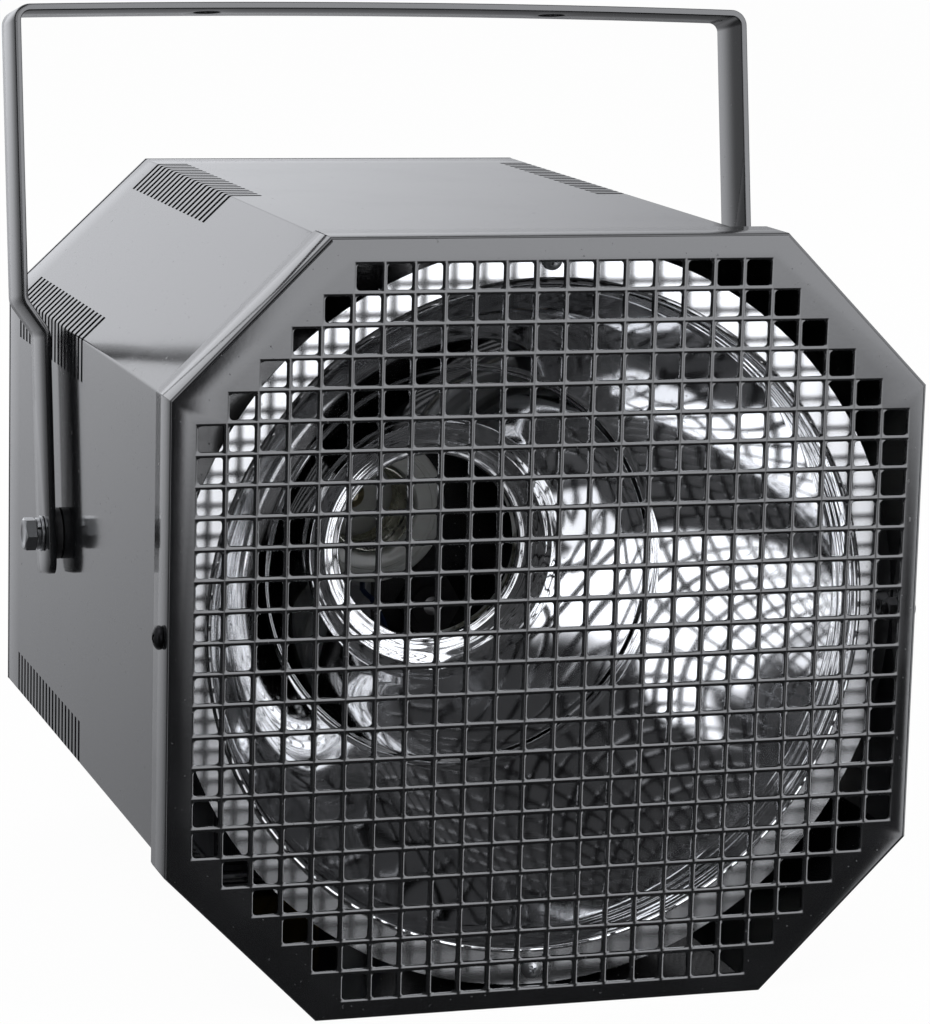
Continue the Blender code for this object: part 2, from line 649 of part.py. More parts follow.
def reflector_profile():
    """Closed profile of the reflector as (radius, depth) points."""
    start = RIM_DEPTH + REFLECTOR_SHEET
    front = [(RIM_RADIUS, RIM_DEPTH), (BOWL_RADIUS + REFLECTOR_SHEET, RIM_DEPTH)]
    stations = [start + (NECK_DEPTH - start) * i / BOWL_STATIONS for i in range(BOWL_STATIONS)]
    for depth in stations:
        if depth < BOWL_STEP_DEPTH:
            front.append((bowl_radius(depth), depth))
    rise = BOWL_STEP_RISE
    front.append((bowl_radius(BOWL_STEP_DEPTH), BOWL_STEP_DEPTH))
    front.append((bowl_radius(BOWL_STEP_DEPTH) - rise, BOWL_STEP_DEPTH + rise / 2))
    for depth in stations:
        if depth > BOWL_STEP_DEPTH + rise:
            front.append((bowl_radius(depth), depth))
    front += [(NECK_RADIUS, NECK_DEPTH), (LAMP_HOLE_RADIUS, NECK_DEPTH)]
    back = [(radius + 1.2 * REFLECTOR_SHEET, depth + 0.5 * REFLECTOR_SHEET)
            for radius, depth in front[2:-1]]
    end = NECK_DEPTH + COLLAR_LENGTH
    collar = [(LAMP_HOLE_RADIUS, end), (LAMP_HOLE_RADIUS + REFLECTOR_SHEET, end),
              (LAMP_HOLE_RADIUS + REFLECTOR_SHEET, NECK_DEPTH + REFLECTOR_SHEET)]
    back[-1] = (NECK_RADIUS + 0.5 * REFLECTOR_SHEET, NECK_DEPTH + REFLECTOR_SHEET)
    rim_back = [(BOWL_RADIUS + 2 * REFLECTOR_SHEET, start), (RIM_RADIUS, start)]
    return front + collar + list(reversed(back)) + rim_back


def build_reflector():
    """The spun reflector, its two screws and the tabs that they screw into."""
    reflector = add_piece("reflector", turned_mesh(reflector_profile(), 32), MIRROR_ALUMINIUM,
                          at(0, 0, 0), ALONG_LAMP)
    screw = screw_mesh(M4, SHORT_SCREW)
    facing_forwards = (math.radians(90), 0, 0)
    for side, name in ((1, "top"), (-1, "bottom")):
        place = at(0, RIM_DEPTH, side * REFLECTOR_SCREW_RADIUS)
        clearance = through_bore(M4.radius + BORE_GAP, 8 * MM)
        boolean(reflector, add_cutter(clearance, place, ALONG_LAMP))
        add_piece(f"reflector_screw_{name}", screw, ZINC,
                  place - Vector((0, SEAT_GAP, 0)), facing_forwards)
        front = RIM_DEPTH + REFLECTOR_SHEET + SEAT_GAP
        wall = side * (HALF_HEIGHT - HOUSING_SHEET - SEAT_GAP)
        inner = wall - side * TAB_SHEET
        angle = [(front, wall), (front + TAB_FOOT, wall), (front + TAB_FOOT, inner),
                 (front + TAB_SHEET, inner), (front + TAB_SHEET, wall - side * TAB_RISE),
                 (front, wall - side * TAB_RISE)]
        tab = add_piece(f"reflector_tab_{name}", outline_mesh([angle], TAB_WIDTH), GALVANISED,
                        at(-TAB_WIDTH / 2, 0, 0), FACING_SIDE)
        pilot = through_bore(M4.radius + THREAD_GAP, 30 * MM)
        boolean(tab, add_cutter(pilot, place, ALONG_LAMP))


def build_lampholder():
    """The porcelain body, its screw shell and contact, and the bracket that carries it."""
    bore = SHELL_RADIUS + SHELL_WALL + SEAT_GAP
    floor = SHELL_SETBACK + SHELL_LENGTH + CONTACT_HEIGHT
    profile = [(bore + 1.5 * MM, 0.0), (HOLDER_RADIUS - 2 * MM, 0.0), (HOLDER_RADIUS, 2 * MM),
               (HOLDER_RADIUS, HOLDER_SKIRT), (HOLDER_BACK_RADIUS, HOLDER_SKIRT + 3 * MM),
               (HOLDER_BACK_RADIUS, HOLDER_LENGTH), (0.0, HOLDER_LENGTH), (0.0, floor),
               (bore, floor), (bore, 1.5 * MM)]
    pilots = [(through_bore(M4.radius + THREAD_GAP, 20 * MM),
               (side * HOLDER_SCREW_SPACING / 2, 0, HOLDER_LENGTH), UPRIGHT) for side in (-1, 1)]
    add_piece("lampholder_body", combine(turned_mesh(profile, 28), pilots), PORCELAIN,
              at(0, HOLDER_MOUTH, 0), ALONG_LAMP)
    shell = ring_mesh(SHELL_RADIUS, SHELL_RADIUS + SHELL_WALL, SHELL_LENGTH, 24)
    add_piece("lampholder_shell", shell, NICKEL_BRASS,
              at(0, HOLDER_MOUTH + SHELL_SETBACK, 0), ALONG_LAMP)
    dome = turned_mesh([(0.0, 0.0), (0.5 * CONTACT_RADIUS, 0.0),
                        (CONTACT_RADIUS, 0.5 * CONTACT_HEIGHT),
                        (CONTACT_RADIUS, CONTACT_HEIGHT - SEAT_GAP),
                        (0.0, CONTACT_HEIGHT - SEAT_GAP)], 16)
    add_piece("lampholder_contact", dome, NICKEL_BRASS,
              at(0, HOLDER_MOUTH + floor - CONTACT_HEIGHT, 0), ALONG_LAMP)
    head, column = BRACKET_HEAD / 2, BRACKET_COLUMN / 2
    foot_top = TRAY_TOP + SEAT_GAP
    front_view = [(-column, foot_top), (column, foot_top), (column, -1.3 * head), (head, -head),
                  (head, head), (-head, head), (-head, -head), (-column, -1.3 * head)]
    place = at(0, BRACKET_FACE + BRACKET_SHEET, 0)
    bracket = add_piece("lampholder_bracket", outline_mesh([front_view], BRACKET_SHEET),
                        GALVANISED, place, FACING_FRONT)
    foot = box_mesh((BRACKET_COLUMN, BRACKET_FOOT + BRACKET_SHEET, BRACKET_SHEET))
    foot_centre = at(0, BRACKET_FACE + BRACKET_SHEET - (BRACKET_FOOT + BRACKET_SHEET) / 2,
                     foot_top + BRACKET_SHEET / 2)
    boolean(bracket, add_cutter(foot, foot_centre), "UNION")
    screw = screw_mesh(M4, SHORT_SCREW)
    for side, name in ((-1, "left"), (1, "right")):
        x = side * HOLDER_SCREW_SPACING / 2
        clearance = through_bore(M4.radius + BORE_GAP, 6 * MM)
        boolean(bracket, add_cutter(clearance, at(x, BRACKET_FACE, 0), ALONG_LAMP))
        add_piece(f"holder_screw_{name}", screw, ZINC,
                  at(x, BRACKET_FACE + BRACKET_SHEET + SEAT_GAP, 0), ALONG_LAMP)
    foot_screw = at(0, BRACKET_FACE - BRACKET_FOOT / 2, foot_top + BRACKET_SHEET)
    pilot = through_bore(M4.radius + BORE_GAP, 6 * MM)
    boolean(bracket, add_cutter(pilot, foot_screw))
    add_piece("bracket_screw", screw_mesh(M4, tray_screw_length(BRACKET_SHEET)), ZINC,
              foot_screw + Vector((0, 0, SEAT_GAP)))
    return foot_screw


def tray_screw_length(stack):
    """Length of a screw that passes a stack standing on the tray and ends inside the tray."""
    return stack + 2 * SEAT_GAP + TRAY_SHEET


def build_gear(bracket_screw):
    """The gear tray with ballast, capacitor, terminal block, earth screw and leads."""
    floor = FLOOR + SEAT_GAP
    side_view = [(TRAY_START, floor), (TRAY_REAR, floor), (TRAY_REAR, floor + TRAY_FLANGE),
                 (TRAY_REAR - TRAY_SHEET, floor + TRAY_FLANGE), (TRAY_REAR - TRAY_SHEET, TRAY_TOP),
                 (TRAY_START, TRAY_TOP)]
    tray = add_piece("gear_tray", outline_mesh([side_view], TRAY_WIDTH), GALVANISED,
                     at(-TRAY_WIDTH / 2, 0, 0), FACING_SIDE)
    for x, height in tray_screw_places():
        pilot = through_bore(M4.radius + THREAD_GAP, 10 * MM)
        boolean(tray, add_cutter(pilot, at(x, TRAY_REAR, height), ALONG_LAMP))
    boolean(tray, add_cutter(through_bore(M4.radius + THREAD_GAP, 12 * MM), bracket_screw))
    build_ballast(tray)
    build_capacitor()
    build_terminals(tray)
    build_leads()


def build_ballast(tray):
    """A laminated choke: core with feet, coil through its window, and two screws."""
    base = TRAY_TOP + SEAT_GAP
    middle = BALLAST_START + BALLAST_LENGTH / 2
    core_centre = at(BALLAST_X, middle, base + BALLAST_HEIGHT / 2)
    foot_length = BALLAST_LENGTH + 2 * BALLAST_FOOT
    foot_drop = (BALLAST_FOOT_SHEET - BALLAST_HEIGHT) / 2
    feet = box_mesh((BALLAST_WIDTH, foot_length, BALLAST_FOOT_SHEET), (0, 0, foot_drop))
    window = (COIL_WIDTH + 2 * SEAT_GAP, foot_length, COIL_HEIGHT + 2 * SEAT_GAP)
    core = combine(box_mesh((BALLAST_WIDTH, BALLAST_LENGTH, BALLAST_HEIGHT)),
                   [(box_mesh(window), (0, 0, 0), UPRIGHT)], [(feet, (0, 0, 0), UPRIGHT)])
    ballast = add_piece("ballast_core", core, LAMINATED_STEEL, core_centre)
    coil = box_mesh((COIL_WIDTH, BALLAST_LENGTH + 2 * COIL_OVERHANG, COIL_HEIGHT))
    add_piece("ballast_coil", coil, COIL_TAPE, core_centre)
    screw = screw_mesh(M4, tray_screw_length(BALLAST_FOOT_SHEET))
    reach = (BALLAST_LENGTH + BALLAST_FOOT) / 2
    for side, name in ((-1, "front"), (1, "rear")):
        x = BALLAST_X + (COIL_WIDTH + BALLAST_WIDTH) / 4
        place = at(x, middle + side * reach, base + BALLAST_FOOT_SHEET)
        boolean(ballast, add_cutter(through_bore(M4.radius + BORE_GAP, 7 * MM), place))
        boolean(tray, add_cutter(through_bore(M4.radius + THREAD_GAP, 14 * MM), place))
        add_piece(f"ballast_screw_{name}", screw, ZINC, place + Vector((0, 0, SEAT_GAP)))


def build_capacitor():
    """A round capacitor held by a sprung clip on the tray."""
    base = TRAY_TOP + SEAT_GAP
    inner = CAPACITOR_RADIUS + SEAT_GAP
    outer = inner + CLIP_WALL
    height = base + CLIP_BASE + inner
    start, end = 90 + CLIP_MOUTH_ANGLE / 2, 450 - CLIP_MOUTH_ANGLE / 2
    band = arc((0, 0), inner, start, end, 16) + list(reversed(arc((0, 0), outer, start, end, 16)))
    low = -inner - CLIP_BASE
    foot = rectangle(-0.6 * outer, 0.6 * outer, low, low + CLIP_BASE + 0.1 * CLIP_WALL)
    middle = CAPACITOR_START + CAPACITOR_LENGTH / 2
    place = at(CAPACITOR_X, middle + CLIP_WIDTH / 2, height)
    clip = combine(outline_mesh([band], CLIP_WIDTH), (),
                   [(outline_mesh([foot], CLIP_WIDTH), (0, 0, 0), UPRIGHT)])
    add_piece("capacitor_clip", clip, WHITE_PLASTIC, place, FACING_FRONT)
    stud = 6 * MM
    can = [(0.0, 0.0), (CAPACITOR_RADIUS - 1.5 * MM, 0.0), (CAPACITOR_RADIUS, 1.5 * MM),
           (CAPACITOR_RADIUS, CAPACITOR_LENGTH), (stud, CAPACITOR_LENGTH),
           (stud, CAPACITOR_LENGTH + stud), (0.0, CAPACITOR_LENGTH + stud)]
    add_piece("capacitor", turned_mesh(can, 24), CAN_ALUMINIUM,
              at(CAPACITOR_X, CAPACITOR_START, height), ALONG_LAMP)


def terminal_offset(pole):
    """How far right of the terminal block's middle a pole sits."""
    return (pole - (TERMINAL_POLES - 1) / 2) * TERMINAL_SIZE[0] / TERMINAL_POLES


def build_terminals(tray):
    """The terminal block on the tray, and the earth screw in the tray's flange."""
    width, depth, height = TERMINAL_SIZE
    holes = []
    for i in range(TERMINAL_POLES):
        x = terminal_offset(i)
        holes.append((through_bore(TERMINAL_BORE, 2 * depth, 8), (x, 0, TERMINAL_DROP), ALONG_LAMP))
        holes.append((prism_mesh(0.8 * TERMINAL_BORE, TERMINAL_DROP, height, 8), (x, 0, 0), UPRIGHT))
    base = TRAY_TOP + SEAT_GAP
    centre = at(TERMINAL_X, TERMINAL_START + depth / 2, base + height / 2)
    block = combine(box_mesh(TERMINAL_SIZE), holes)
    add_piece("terminal_block", block, WHITE_PLASTIC, centre)
    length = COVER_FACE - (TRAY_REAR - TRAY_SHEET) - SEAT_GAP
    seat = at(EARTH_SCREW_X, TRAY_REAR - TRAY_SHEET - SEAT_GAP, FLOOR + 0.7 * TRAY_FLANGE)
    add_piece("earth_screw", screw_mesh(M4, length), NICKEL_BRASS, seat, (math.radians(90), 0, 0))
    boolean(tray, add_cutter(through_bore(M4.radius + THREAD_GAP, 10 * MM), seat, ALONG_LAMP))


def build_leads():
    """The leads between terminal block, ballast and lampholder."""
    core_right = BALLAST_X + BALLAST_WIDTH / 2 + SEAT_GAP
    core_rear = BALLAST_START + BALLAST_LENGTH
    core_top = TRAY_TOP + BALLAST_HEIGHT
    skirt = HOLDER_MOUTH + HOLDER_SKIRT - LEAD_STANDOFF
    side = LEAD_SPACING / 2
    under_holder = -math.sqrt(HOLDER_RADIUS ** 2 - side ** 2) - 2 * SEAT_GAP
    below = under_holder - LEAD_DROP
    bore_height = TRAY_TOP + SEAT_GAP + TERMINAL_SIZE[2] / 2 + TERMINAL_DROP
    left_pole = TERMINAL_X + terminal_offset(0)
    middle_pole = TERMINAL_X + terminal_offset(1)
    inside = TERMINAL_START + LEAD_INSERT
    leave = TERMINAL_START - LEAD_STRAIGHT
    depth, height = core_rear - FEED_PLACE[0], core_top - FEED_PLACE[1]
    feed = [at(left_pole, inside, bore_height), at(left_pole, leave, bore_height),
            at(0.0, leave, 0.5 * (bore_height + core_top)),
            at(core_right + LEAD_STANDOFF, depth, height), at(core_right, depth, height)]
    add_piece("lead_feed", tube_mesh(feed, LEAD_RADIUS), BROWN_LEAD)
    depth, height = core_rear - LIVE_PLACE[0], core_top - LIVE_PLACE[1]
    live = [at(core_right, depth, height), at(core_right + LEAD_STANDOFF, depth, height),
            at(-side, skirt - LEAD_STRAIGHT, 0.7 * core_top),
            at(-side, skirt, below), at(-side, skirt, under_holder)]
    add_piece("lead_live", tube_mesh(live, LEAD_RADIUS), BROWN_LEAD)
    neutral = [at(middle_pole, inside, bore_height), at(middle_pole, leave, bore_height),
               at(side + LEAD_BOW, skirt, 0.7 * core_top),
               at(side, skirt, below), at(side, skirt, under_holder)]
    add_piece("lead_neutral", tube_mesh(neutral, LEAD_RADIUS), BLUE_LEAD)


def yoke_centreline():
    """Middle line of the bar from the left arm's end to the right one, as (x, reach) points."""
    half = YOKE_THICK / 2
    foot = HALF_WIDTH + YOKE_FOOT + half
    side = YOKE_WIDTH / 2 - half
    top = YOKE_REACH - half
    bend = YOKE_CORNER - half
    right = [(foot, -YOKE_END), (foot, YOKE_JOGGLE_LOW), (side, YOKE_JOGGLE_HIGH)]
    right += arc((side - bend, top - bend), bend, 0, 90, 4)
    crown = []
    inner = side - bend
    for i in range(1, CROWN_SPANS):
        x = inner * (1 - 2 * i / CROWN_SPANS)
        crown.append((x, top + YOKE_CROWN * (1 - (x / inner) ** 2)))
    left = [(-x, reach) for x, reach in reversed(right)]
    return right + crown + left


def offset_line(line, distance):
    """The open line moved sideways by a distance, mitred at its corners."""
    points = [Vector(point) for point in line]
    directions = [(b - a).normalized() for a, b in zip(points, points[1:])]
    moved = []
    for i, point in enumerate(points):
        before = directions[max(i - 1, 0)]
        after = directions[min(i, len(directions) - 1)]
        along = (before + after).normalized()
        normal = Vector((-along.y, along.x))
        moved.append(tuple(point + normal * distance / max(along.dot(after), 0.5)))
    return moved


def build_yoke():
    """The bent bar on its pivot empty, with its pivot holes, clamp holes and rounded ends."""
    pivot = new_empty("yoke_pivot", at(0, PIVOT_DEPTH, 0),
                      (math.radians(-YOKE_REST_TILT), 0, 0))
    line = yoke_centreline()
    outline = offset_line(line, YOKE_THICK / 2) + list(reversed(offset_line(line, -YOKE_THICK / 2)))
    yoke = add_piece("yoke", outline_mesh([outline], YOKE_BAR), BLACK_PAINT,
                     (0, YOKE_BAR / 2, 0), FACING_FRONT, pivot)
    bore = through_bore(M8.radius + BORE_GAP, YOKE_WIDTH + 10 * MM, 16)
    boolean(yoke, add_cutter(bore, (0, 0, 0), (0, math.radians(90), 0), pivot))
    for side in (-1, 1):
        hole = through_bore(YOKE_HOLE_RADIUS, 20 * MM, 20)
        boolean(yoke, add_cutter(hole, (side * YOKE_HOLE_SPACING / 2, 0, YOKE_REACH), UPRIGHT, pivot))
        radius = YOKE_END_RADIUS
        edge = side * YOKE_BAR / 2
        centre = (edge - side * radius, -YOKE_END + radius)
        sweep = (-90, 0) if side > 0 else (270, 180)
        spandrel = arc(centre, radius, *sweep, 4)
        spandrel += [(edge + side * MM, -YOKE_END + radius), (edge + side * MM, -YOKE_END - MM),
                     (edge - side * radius, -YOKE_END - MM)]
        trim = outline_mesh([spandrel], YOKE_WIDTH + 10 * MM)
        boolean(yoke, add_cutter(trim, (-YOKE_WIDTH / 2 - 5 * MM, 0, 0), FACING_SIDE, pivot))
    return yoke


def build_pivots():
    """At either side: bolt, washers, spacer, backing plate and nut, stacked on the housing."""
    arm_face = YOKE_FOOT + YOKE_THICK
    washer_seat = arm_face + SEAT_GAP
    spring_seat = washer_seat + WASHER_SHEET + SEAT_GAP
    head_seat = spring_seat + SPRING_HEIGHT + SEAT_GAP
    shank = prism_mesh(M8.radius, -BOLT_LENGTH, M8.head_height / 2, sides=20)
    head = prism_mesh(M8.flats / math.sqrt(3), 0.0, M8.head_height, sides=6)
    bolt = combine(head, (), [(shank, (0, 0, 0), UPRIGHT)])
    slit = box_mesh((2 * SPRING_RADIUS, SPRING_SLIT, 4 * SPRING_HEIGHT), (SPRING_RADIUS, 0, 0))
    bore = M8.radius + THREAD_GAP
    spring = combine(ring_mesh(bore, SPRING_RADIUS, SPRING_HEIGHT),
                     [(slit, (0, 0, 0), (math.radians(30), 0, 0))])
    washer = ring_mesh(bore, WASHER_RADIUS, WASHER_SHEET)
    spacer = ring_mesh(M8.radius + BORE_GAP, SPACER_RADIUS, SPACER_LENGTH, 20)
    plate = combine(box_mesh((PLATE_SIZE, PLATE_SIZE, PLATE_SHEET), (0, 0, PLATE_SHEET / 2)),
                    [(through_bore(bore, 4 * PLATE_SHEET), (0, 0, 0), UPRIGHT)])
    nut = hex_nut_mesh(M8)
    plate_seat = -HOUSING_SHEET - SEAT_GAP - PLATE_SHEET
    stack = [("pivot_spacer", spacer, BLACK_NYLON, SEAT_GAP),
             ("flat_washer", washer, ZINC, washer_seat),
             ("spring_washer", spring, ZINC, spring_seat),
             ("pivot_bolt", bolt, ZINC, head_seat),
             ("pivot_plate", plate, GALVANISED, plate_seat),
             ("pivot_nut", nut, ZINC, plate_seat - SEAT_GAP - M8.nut_height)]
    for side, name in ((-1, "left"), (1, "right")):
        base = new_empty(f"pivot_{name}", at(side * HALF_WIDTH, PIVOT_DEPTH, 0),
                         (0, side * math.radians(90), 0))
        for piece, mesh, finish, seat in stack:
            add_piece(f"{piece}_{name}", mesh, finish, (0, 0, seat), UPRIGHT, base)


def main():
    """Build every piece of the floodlight."""
    build_housing()
    build_rear_cover()
    build_front_frame()
    build_reflector()
    bracket_screw = build_lampholder()
    build_gear(bracket_screw)
    build_yoke()
    build_pivots()


main()
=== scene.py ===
"""Blacklight floodlight: its finished surfaces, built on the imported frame.

Sizes are in millimetres. A place is (x, depth, height): x to the right as seen from the front,
depth rearwards from the face of the grille, height above the lamp axis.
"""
from __future__ import annotations

import logging
import math
from collections.abc import Callable, Iterable, Sequence
from dataclasses import dataclass, field
from enum import Enum

import bmesh
import bpy
from mathutils import Matrix, Vector
from mathutils.geometry import tessellate_polygon

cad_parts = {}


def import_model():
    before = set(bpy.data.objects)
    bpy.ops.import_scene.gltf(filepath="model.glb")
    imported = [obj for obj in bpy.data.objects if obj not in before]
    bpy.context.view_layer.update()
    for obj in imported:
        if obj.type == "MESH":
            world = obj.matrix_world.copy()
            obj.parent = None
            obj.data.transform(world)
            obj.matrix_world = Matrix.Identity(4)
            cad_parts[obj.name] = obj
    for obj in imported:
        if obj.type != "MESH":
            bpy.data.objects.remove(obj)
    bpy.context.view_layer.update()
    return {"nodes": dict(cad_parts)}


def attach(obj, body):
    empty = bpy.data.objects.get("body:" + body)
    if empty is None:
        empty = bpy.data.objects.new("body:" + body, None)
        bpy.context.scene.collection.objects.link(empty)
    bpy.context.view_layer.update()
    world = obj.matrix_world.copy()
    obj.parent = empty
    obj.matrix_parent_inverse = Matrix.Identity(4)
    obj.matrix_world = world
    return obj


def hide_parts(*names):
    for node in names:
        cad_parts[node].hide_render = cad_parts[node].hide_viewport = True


LOG = logging.getLogger("floodlight")
MM = 0.001
MIDDLE_DEPTH = 181.25        # depth of the origin
AXIS_HEIGHT = 152.1          # lamp axis above the front frame's bottom edge
CLEAR = 5.0                  # how far a cutter reaches past what it cuts

Point = Sequence[float]
Colour = tuple[float, float, float]
Edge = tuple[float, float]


class Body(Enum):
    """The moving bodies of the floodlight."""

    HOUSING = "housing"
    FRONT_FRAME = "front_frame"
    YOKE = "yoke"


class Slot(Enum):
    """The material slots of the record."""

    BLACK_PAINT = "black_paint"
    MIRROR = "mirror_aluminium"
    ZINC = "zinc_steel"
    BLACK_STEEL = "black_steel"
    PORCELAIN = "porcelain"
    BRASS = "nickel_brass"
    NYLON = "black_nylon"


# Shader graphs


class Value:
    """A shader socket that takes part in Python expressions."""

    def __init__(self, graph: Graph, socket: bpy.types.NodeSocket) -> None:
        """Wrap a socket of a graph."""
        self.graph = graph
        self.socket = socket

    def __add__(self, other: Value | float) -> Value:
        """Sum."""
        return self.graph.math("ADD", self, other)

    def __sub__(self, other: Value | float) -> Value:
        """Difference."""
        return self.graph.math("SUBTRACT", self, other)

    def __rsub__(self, other: Value | float) -> Value:
        """Difference from a number."""
        return self.graph.math("SUBTRACT", other, self)

    def __mul__(self, other: Value | float) -> Value:
        """Product."""
        return self.graph.math("MULTIPLY", self, other)

    def __pow__(self, other: Value | float) -> Value:
        """Power."""
        return self.graph.math("POWER", self, other)

    def __abs__(self) -> Value:
        """Absolute value."""
        return self.graph.math("ABSOLUTE", self)

    __radd__ = __add__
    __rmul__ = __mul__

    def function(self, operation: str, *others: Value | float) -> Value:
        """Apply another Math operation with this value as its first operand."""
        return self.graph.math(operation, self, *others)

    def most(self, other: Value | float) -> Value:
        """The larger of the two."""
        return self.graph.math("MAXIMUM", self, other)

    def step(self, low: float, high: float) -> Value:
        """Rise smoothly from 0 at low to 1 at high.

        Args:
            low: value that gives 0; above high for a fall instead.
            high: value that gives 1.

        Returns:
            The smooth step.
        """
        rises = low < high
        inputs = {"Value": self, "From Min": min(low, high), "From Max": max(low, high),
                  "To Min": 0.0 if rises else 1.0, "To Max": 1.0 if rises else 0.0}
        return self.graph.value("ShaderNodeMapRange", {"interpolation_type": "SMOOTHSTEP"}, inputs)


class Graph:
    """The nodes of one material or world."""

    def __init__(self, tree: bpy.types.NodeTree) -> None:
        """Take over a node tree."""
        self.tree = tree

    def feed(self, node: bpy.types.Node, inputs: dict) -> None:
        """Set or link sockets of a node.

        Args:
            node: the node to feed.
            inputs: socket name or number to a value, a socket or a plain setting.
        """
        for name, given in inputs.items():
            source = given.socket if isinstance(given, Value) else given
            if isinstance(source, bpy.types.NodeSocket):
                self.tree.links.new(source, node.inputs[name])
            else:
                node.inputs[name].default_value = source

    def node(self, kind: str, settings: dict | None = None,
             inputs: dict | None = None) -> bpy.types.Node:
        """Add a node.

        Args:
            kind: the node's type.
            settings: properties to set first.
            inputs: what feeds its sockets.

        Returns:
            The node.
        """
        node = self.tree.nodes.new(kind)
        for name, setting in (settings or {}).items():
            setattr(node, name, setting)
        self.feed(node, inputs or {})
        return node

    def value(self, kind: str, settings: dict | None = None, inputs: dict | None = None,
              output: int | str = 0) -> Value:
        """Add a node and return one of its outputs."""
        return Value(self, self.node(kind, settings, inputs).outputs[output])

    def math(self, operation: str, *operands: Value | float) -> Value:
        """Add a Math node on the operands."""
        return self.value("ShaderNodeMath", {"operation": operation}, dict(enumerate(operands)))

    def place(self) -> Value:
        """Return the surface's own coordinates in metres."""
        return self.value("ShaderNodeTexCoord", output="Object")

    def split(self, vector: Value) -> list[Value]:
        """Return the X, Y and Z of a vector."""
        node = self.node("ShaderNodeSeparateXYZ", None, {0: vector})
        return [Value(self, output) for output in node.outputs]

    def noise(self, per_metre: float, detail: float = 2.0, vector: Value | None = None,
              roughness: float = 0.5, distortion: float = 0.0) -> Value:
        """Return a noise from 0 to 1.

        Args:
            per_metre: about how many features it has to the metre.
            detail: how many finer layers it has.
            vector: where it is looked up, in place of the surface's own coordinates.
            roughness: how strong the finer layers are.
            distortion: how far its features are bent.

        Returns:
            The noise.
        """
        inputs = {"Vector": vector or self.place(), "Scale": per_metre, "Detail": detail,
                  "Roughness": roughness, "Distortion": distortion}
        return self.value("ShaderNodeTexNoise", None, inputs, "Fac")

    def mix(self, factor: Value | float, low: Colour, high: Colour) -> Value:
        """Blend two colours."""
        inputs = {0: factor, 6: (*low, 1.0), 7: (*high, 1.0)}
        return self.value("ShaderNodeMix", {"data_type": "RGBA"}, inputs, 2)

    def bump(self, height: Value, distance: float) -> Value:
        """Return a normal bent by a height of 0 to 1 that stands for a distance in mm."""
        inputs = {"Strength": 1.0, "Distance": distance * MM, "Height": height}
        return self.value("ShaderNodeBump", None, inputs, "Normal")

    def hairlines(self, per_metre: float, width: float, share: float) -> Value:
        """Draw thin curved scratches.

        Args:
            per_metre: how close they lie.
            width: how wide each is, as a share of the noise that it follows.
            share: level of a coarser noise above which there are any.

        Returns:
            1 on a scratch and 0 beside it.
        """
        line = abs(self.noise(per_metre, 1.0, distortion=1.5) - 0.5).step(width, 0.0)
        return line * self.noise(per_metre * 0.7, 2.0).step(share, share + 0.08)


class Finish:
    """A surface finish that makes its material once."""

    made: dict[Finish, bpy.types.Material] = {}

    def material(self) -> bpy.types.Material:
        """Make the material on the first call.

        Returns:
            The finish's material.
        """
        if self not in Finish.made:
            material = bpy.data.materials.new(type(self).__name__)
            material.use_nodes = True
            graph = Graph(material.node_tree)
            graph.feed(material.node_tree.nodes["Principled BSDF"], self.inputs(graph))
            Finish.made[self] = material
        return Finish.made[self]

    def inputs(self, graph: Graph) -> dict[str, Value | float]:
        """Return what feeds the shader's sockets, by name, from nodes added to the graph."""
        raise NotImplementedError


@dataclass(frozen=True)
class GlossPaint(Finish):
    """Stoved black enamel: deep gloss, a slight orange peel, dust nibs and handling smears."""

    colour: Colour = (0.0045, 0.0048, 0.0054)
    smear_colour: Colour = (0.0100, 0.0105, 0.0120)
    roughness: float = 0.085
    index: float = 2.15
    peel: float = 0.0050
    wave: float = 0.020

    def inputs(self, graph: Graph) -> dict[str, Value | float]:
        """Peel and sheet wave bend the reflection, smears dull it, nibs stand out as specks.

        Args:
            graph: the material\'s nodes.

        Returns:
            What feeds the shader\'s sockets.
        """
        smear = graph.noise(16.0, 5.0, roughness=0.6).step(0.42, 0.72)
        nib = graph.noise(620.0, 1.0).step(0.745, 0.775)
        height = graph.noise(520.0) * (self.peel / self.wave) + graph.noise(22.0, 1.0) + nib * 0.2
        return {
            "Base Color": graph.mix(smear * 0.6 + nib * 0.4, self.colour, self.smear_colour),
            "Roughness": smear * 0.035 + nib * 0.2 + self.roughness,
            "IOR": self.index,
            "Normal": graph.bump(height, self.wave),
        }


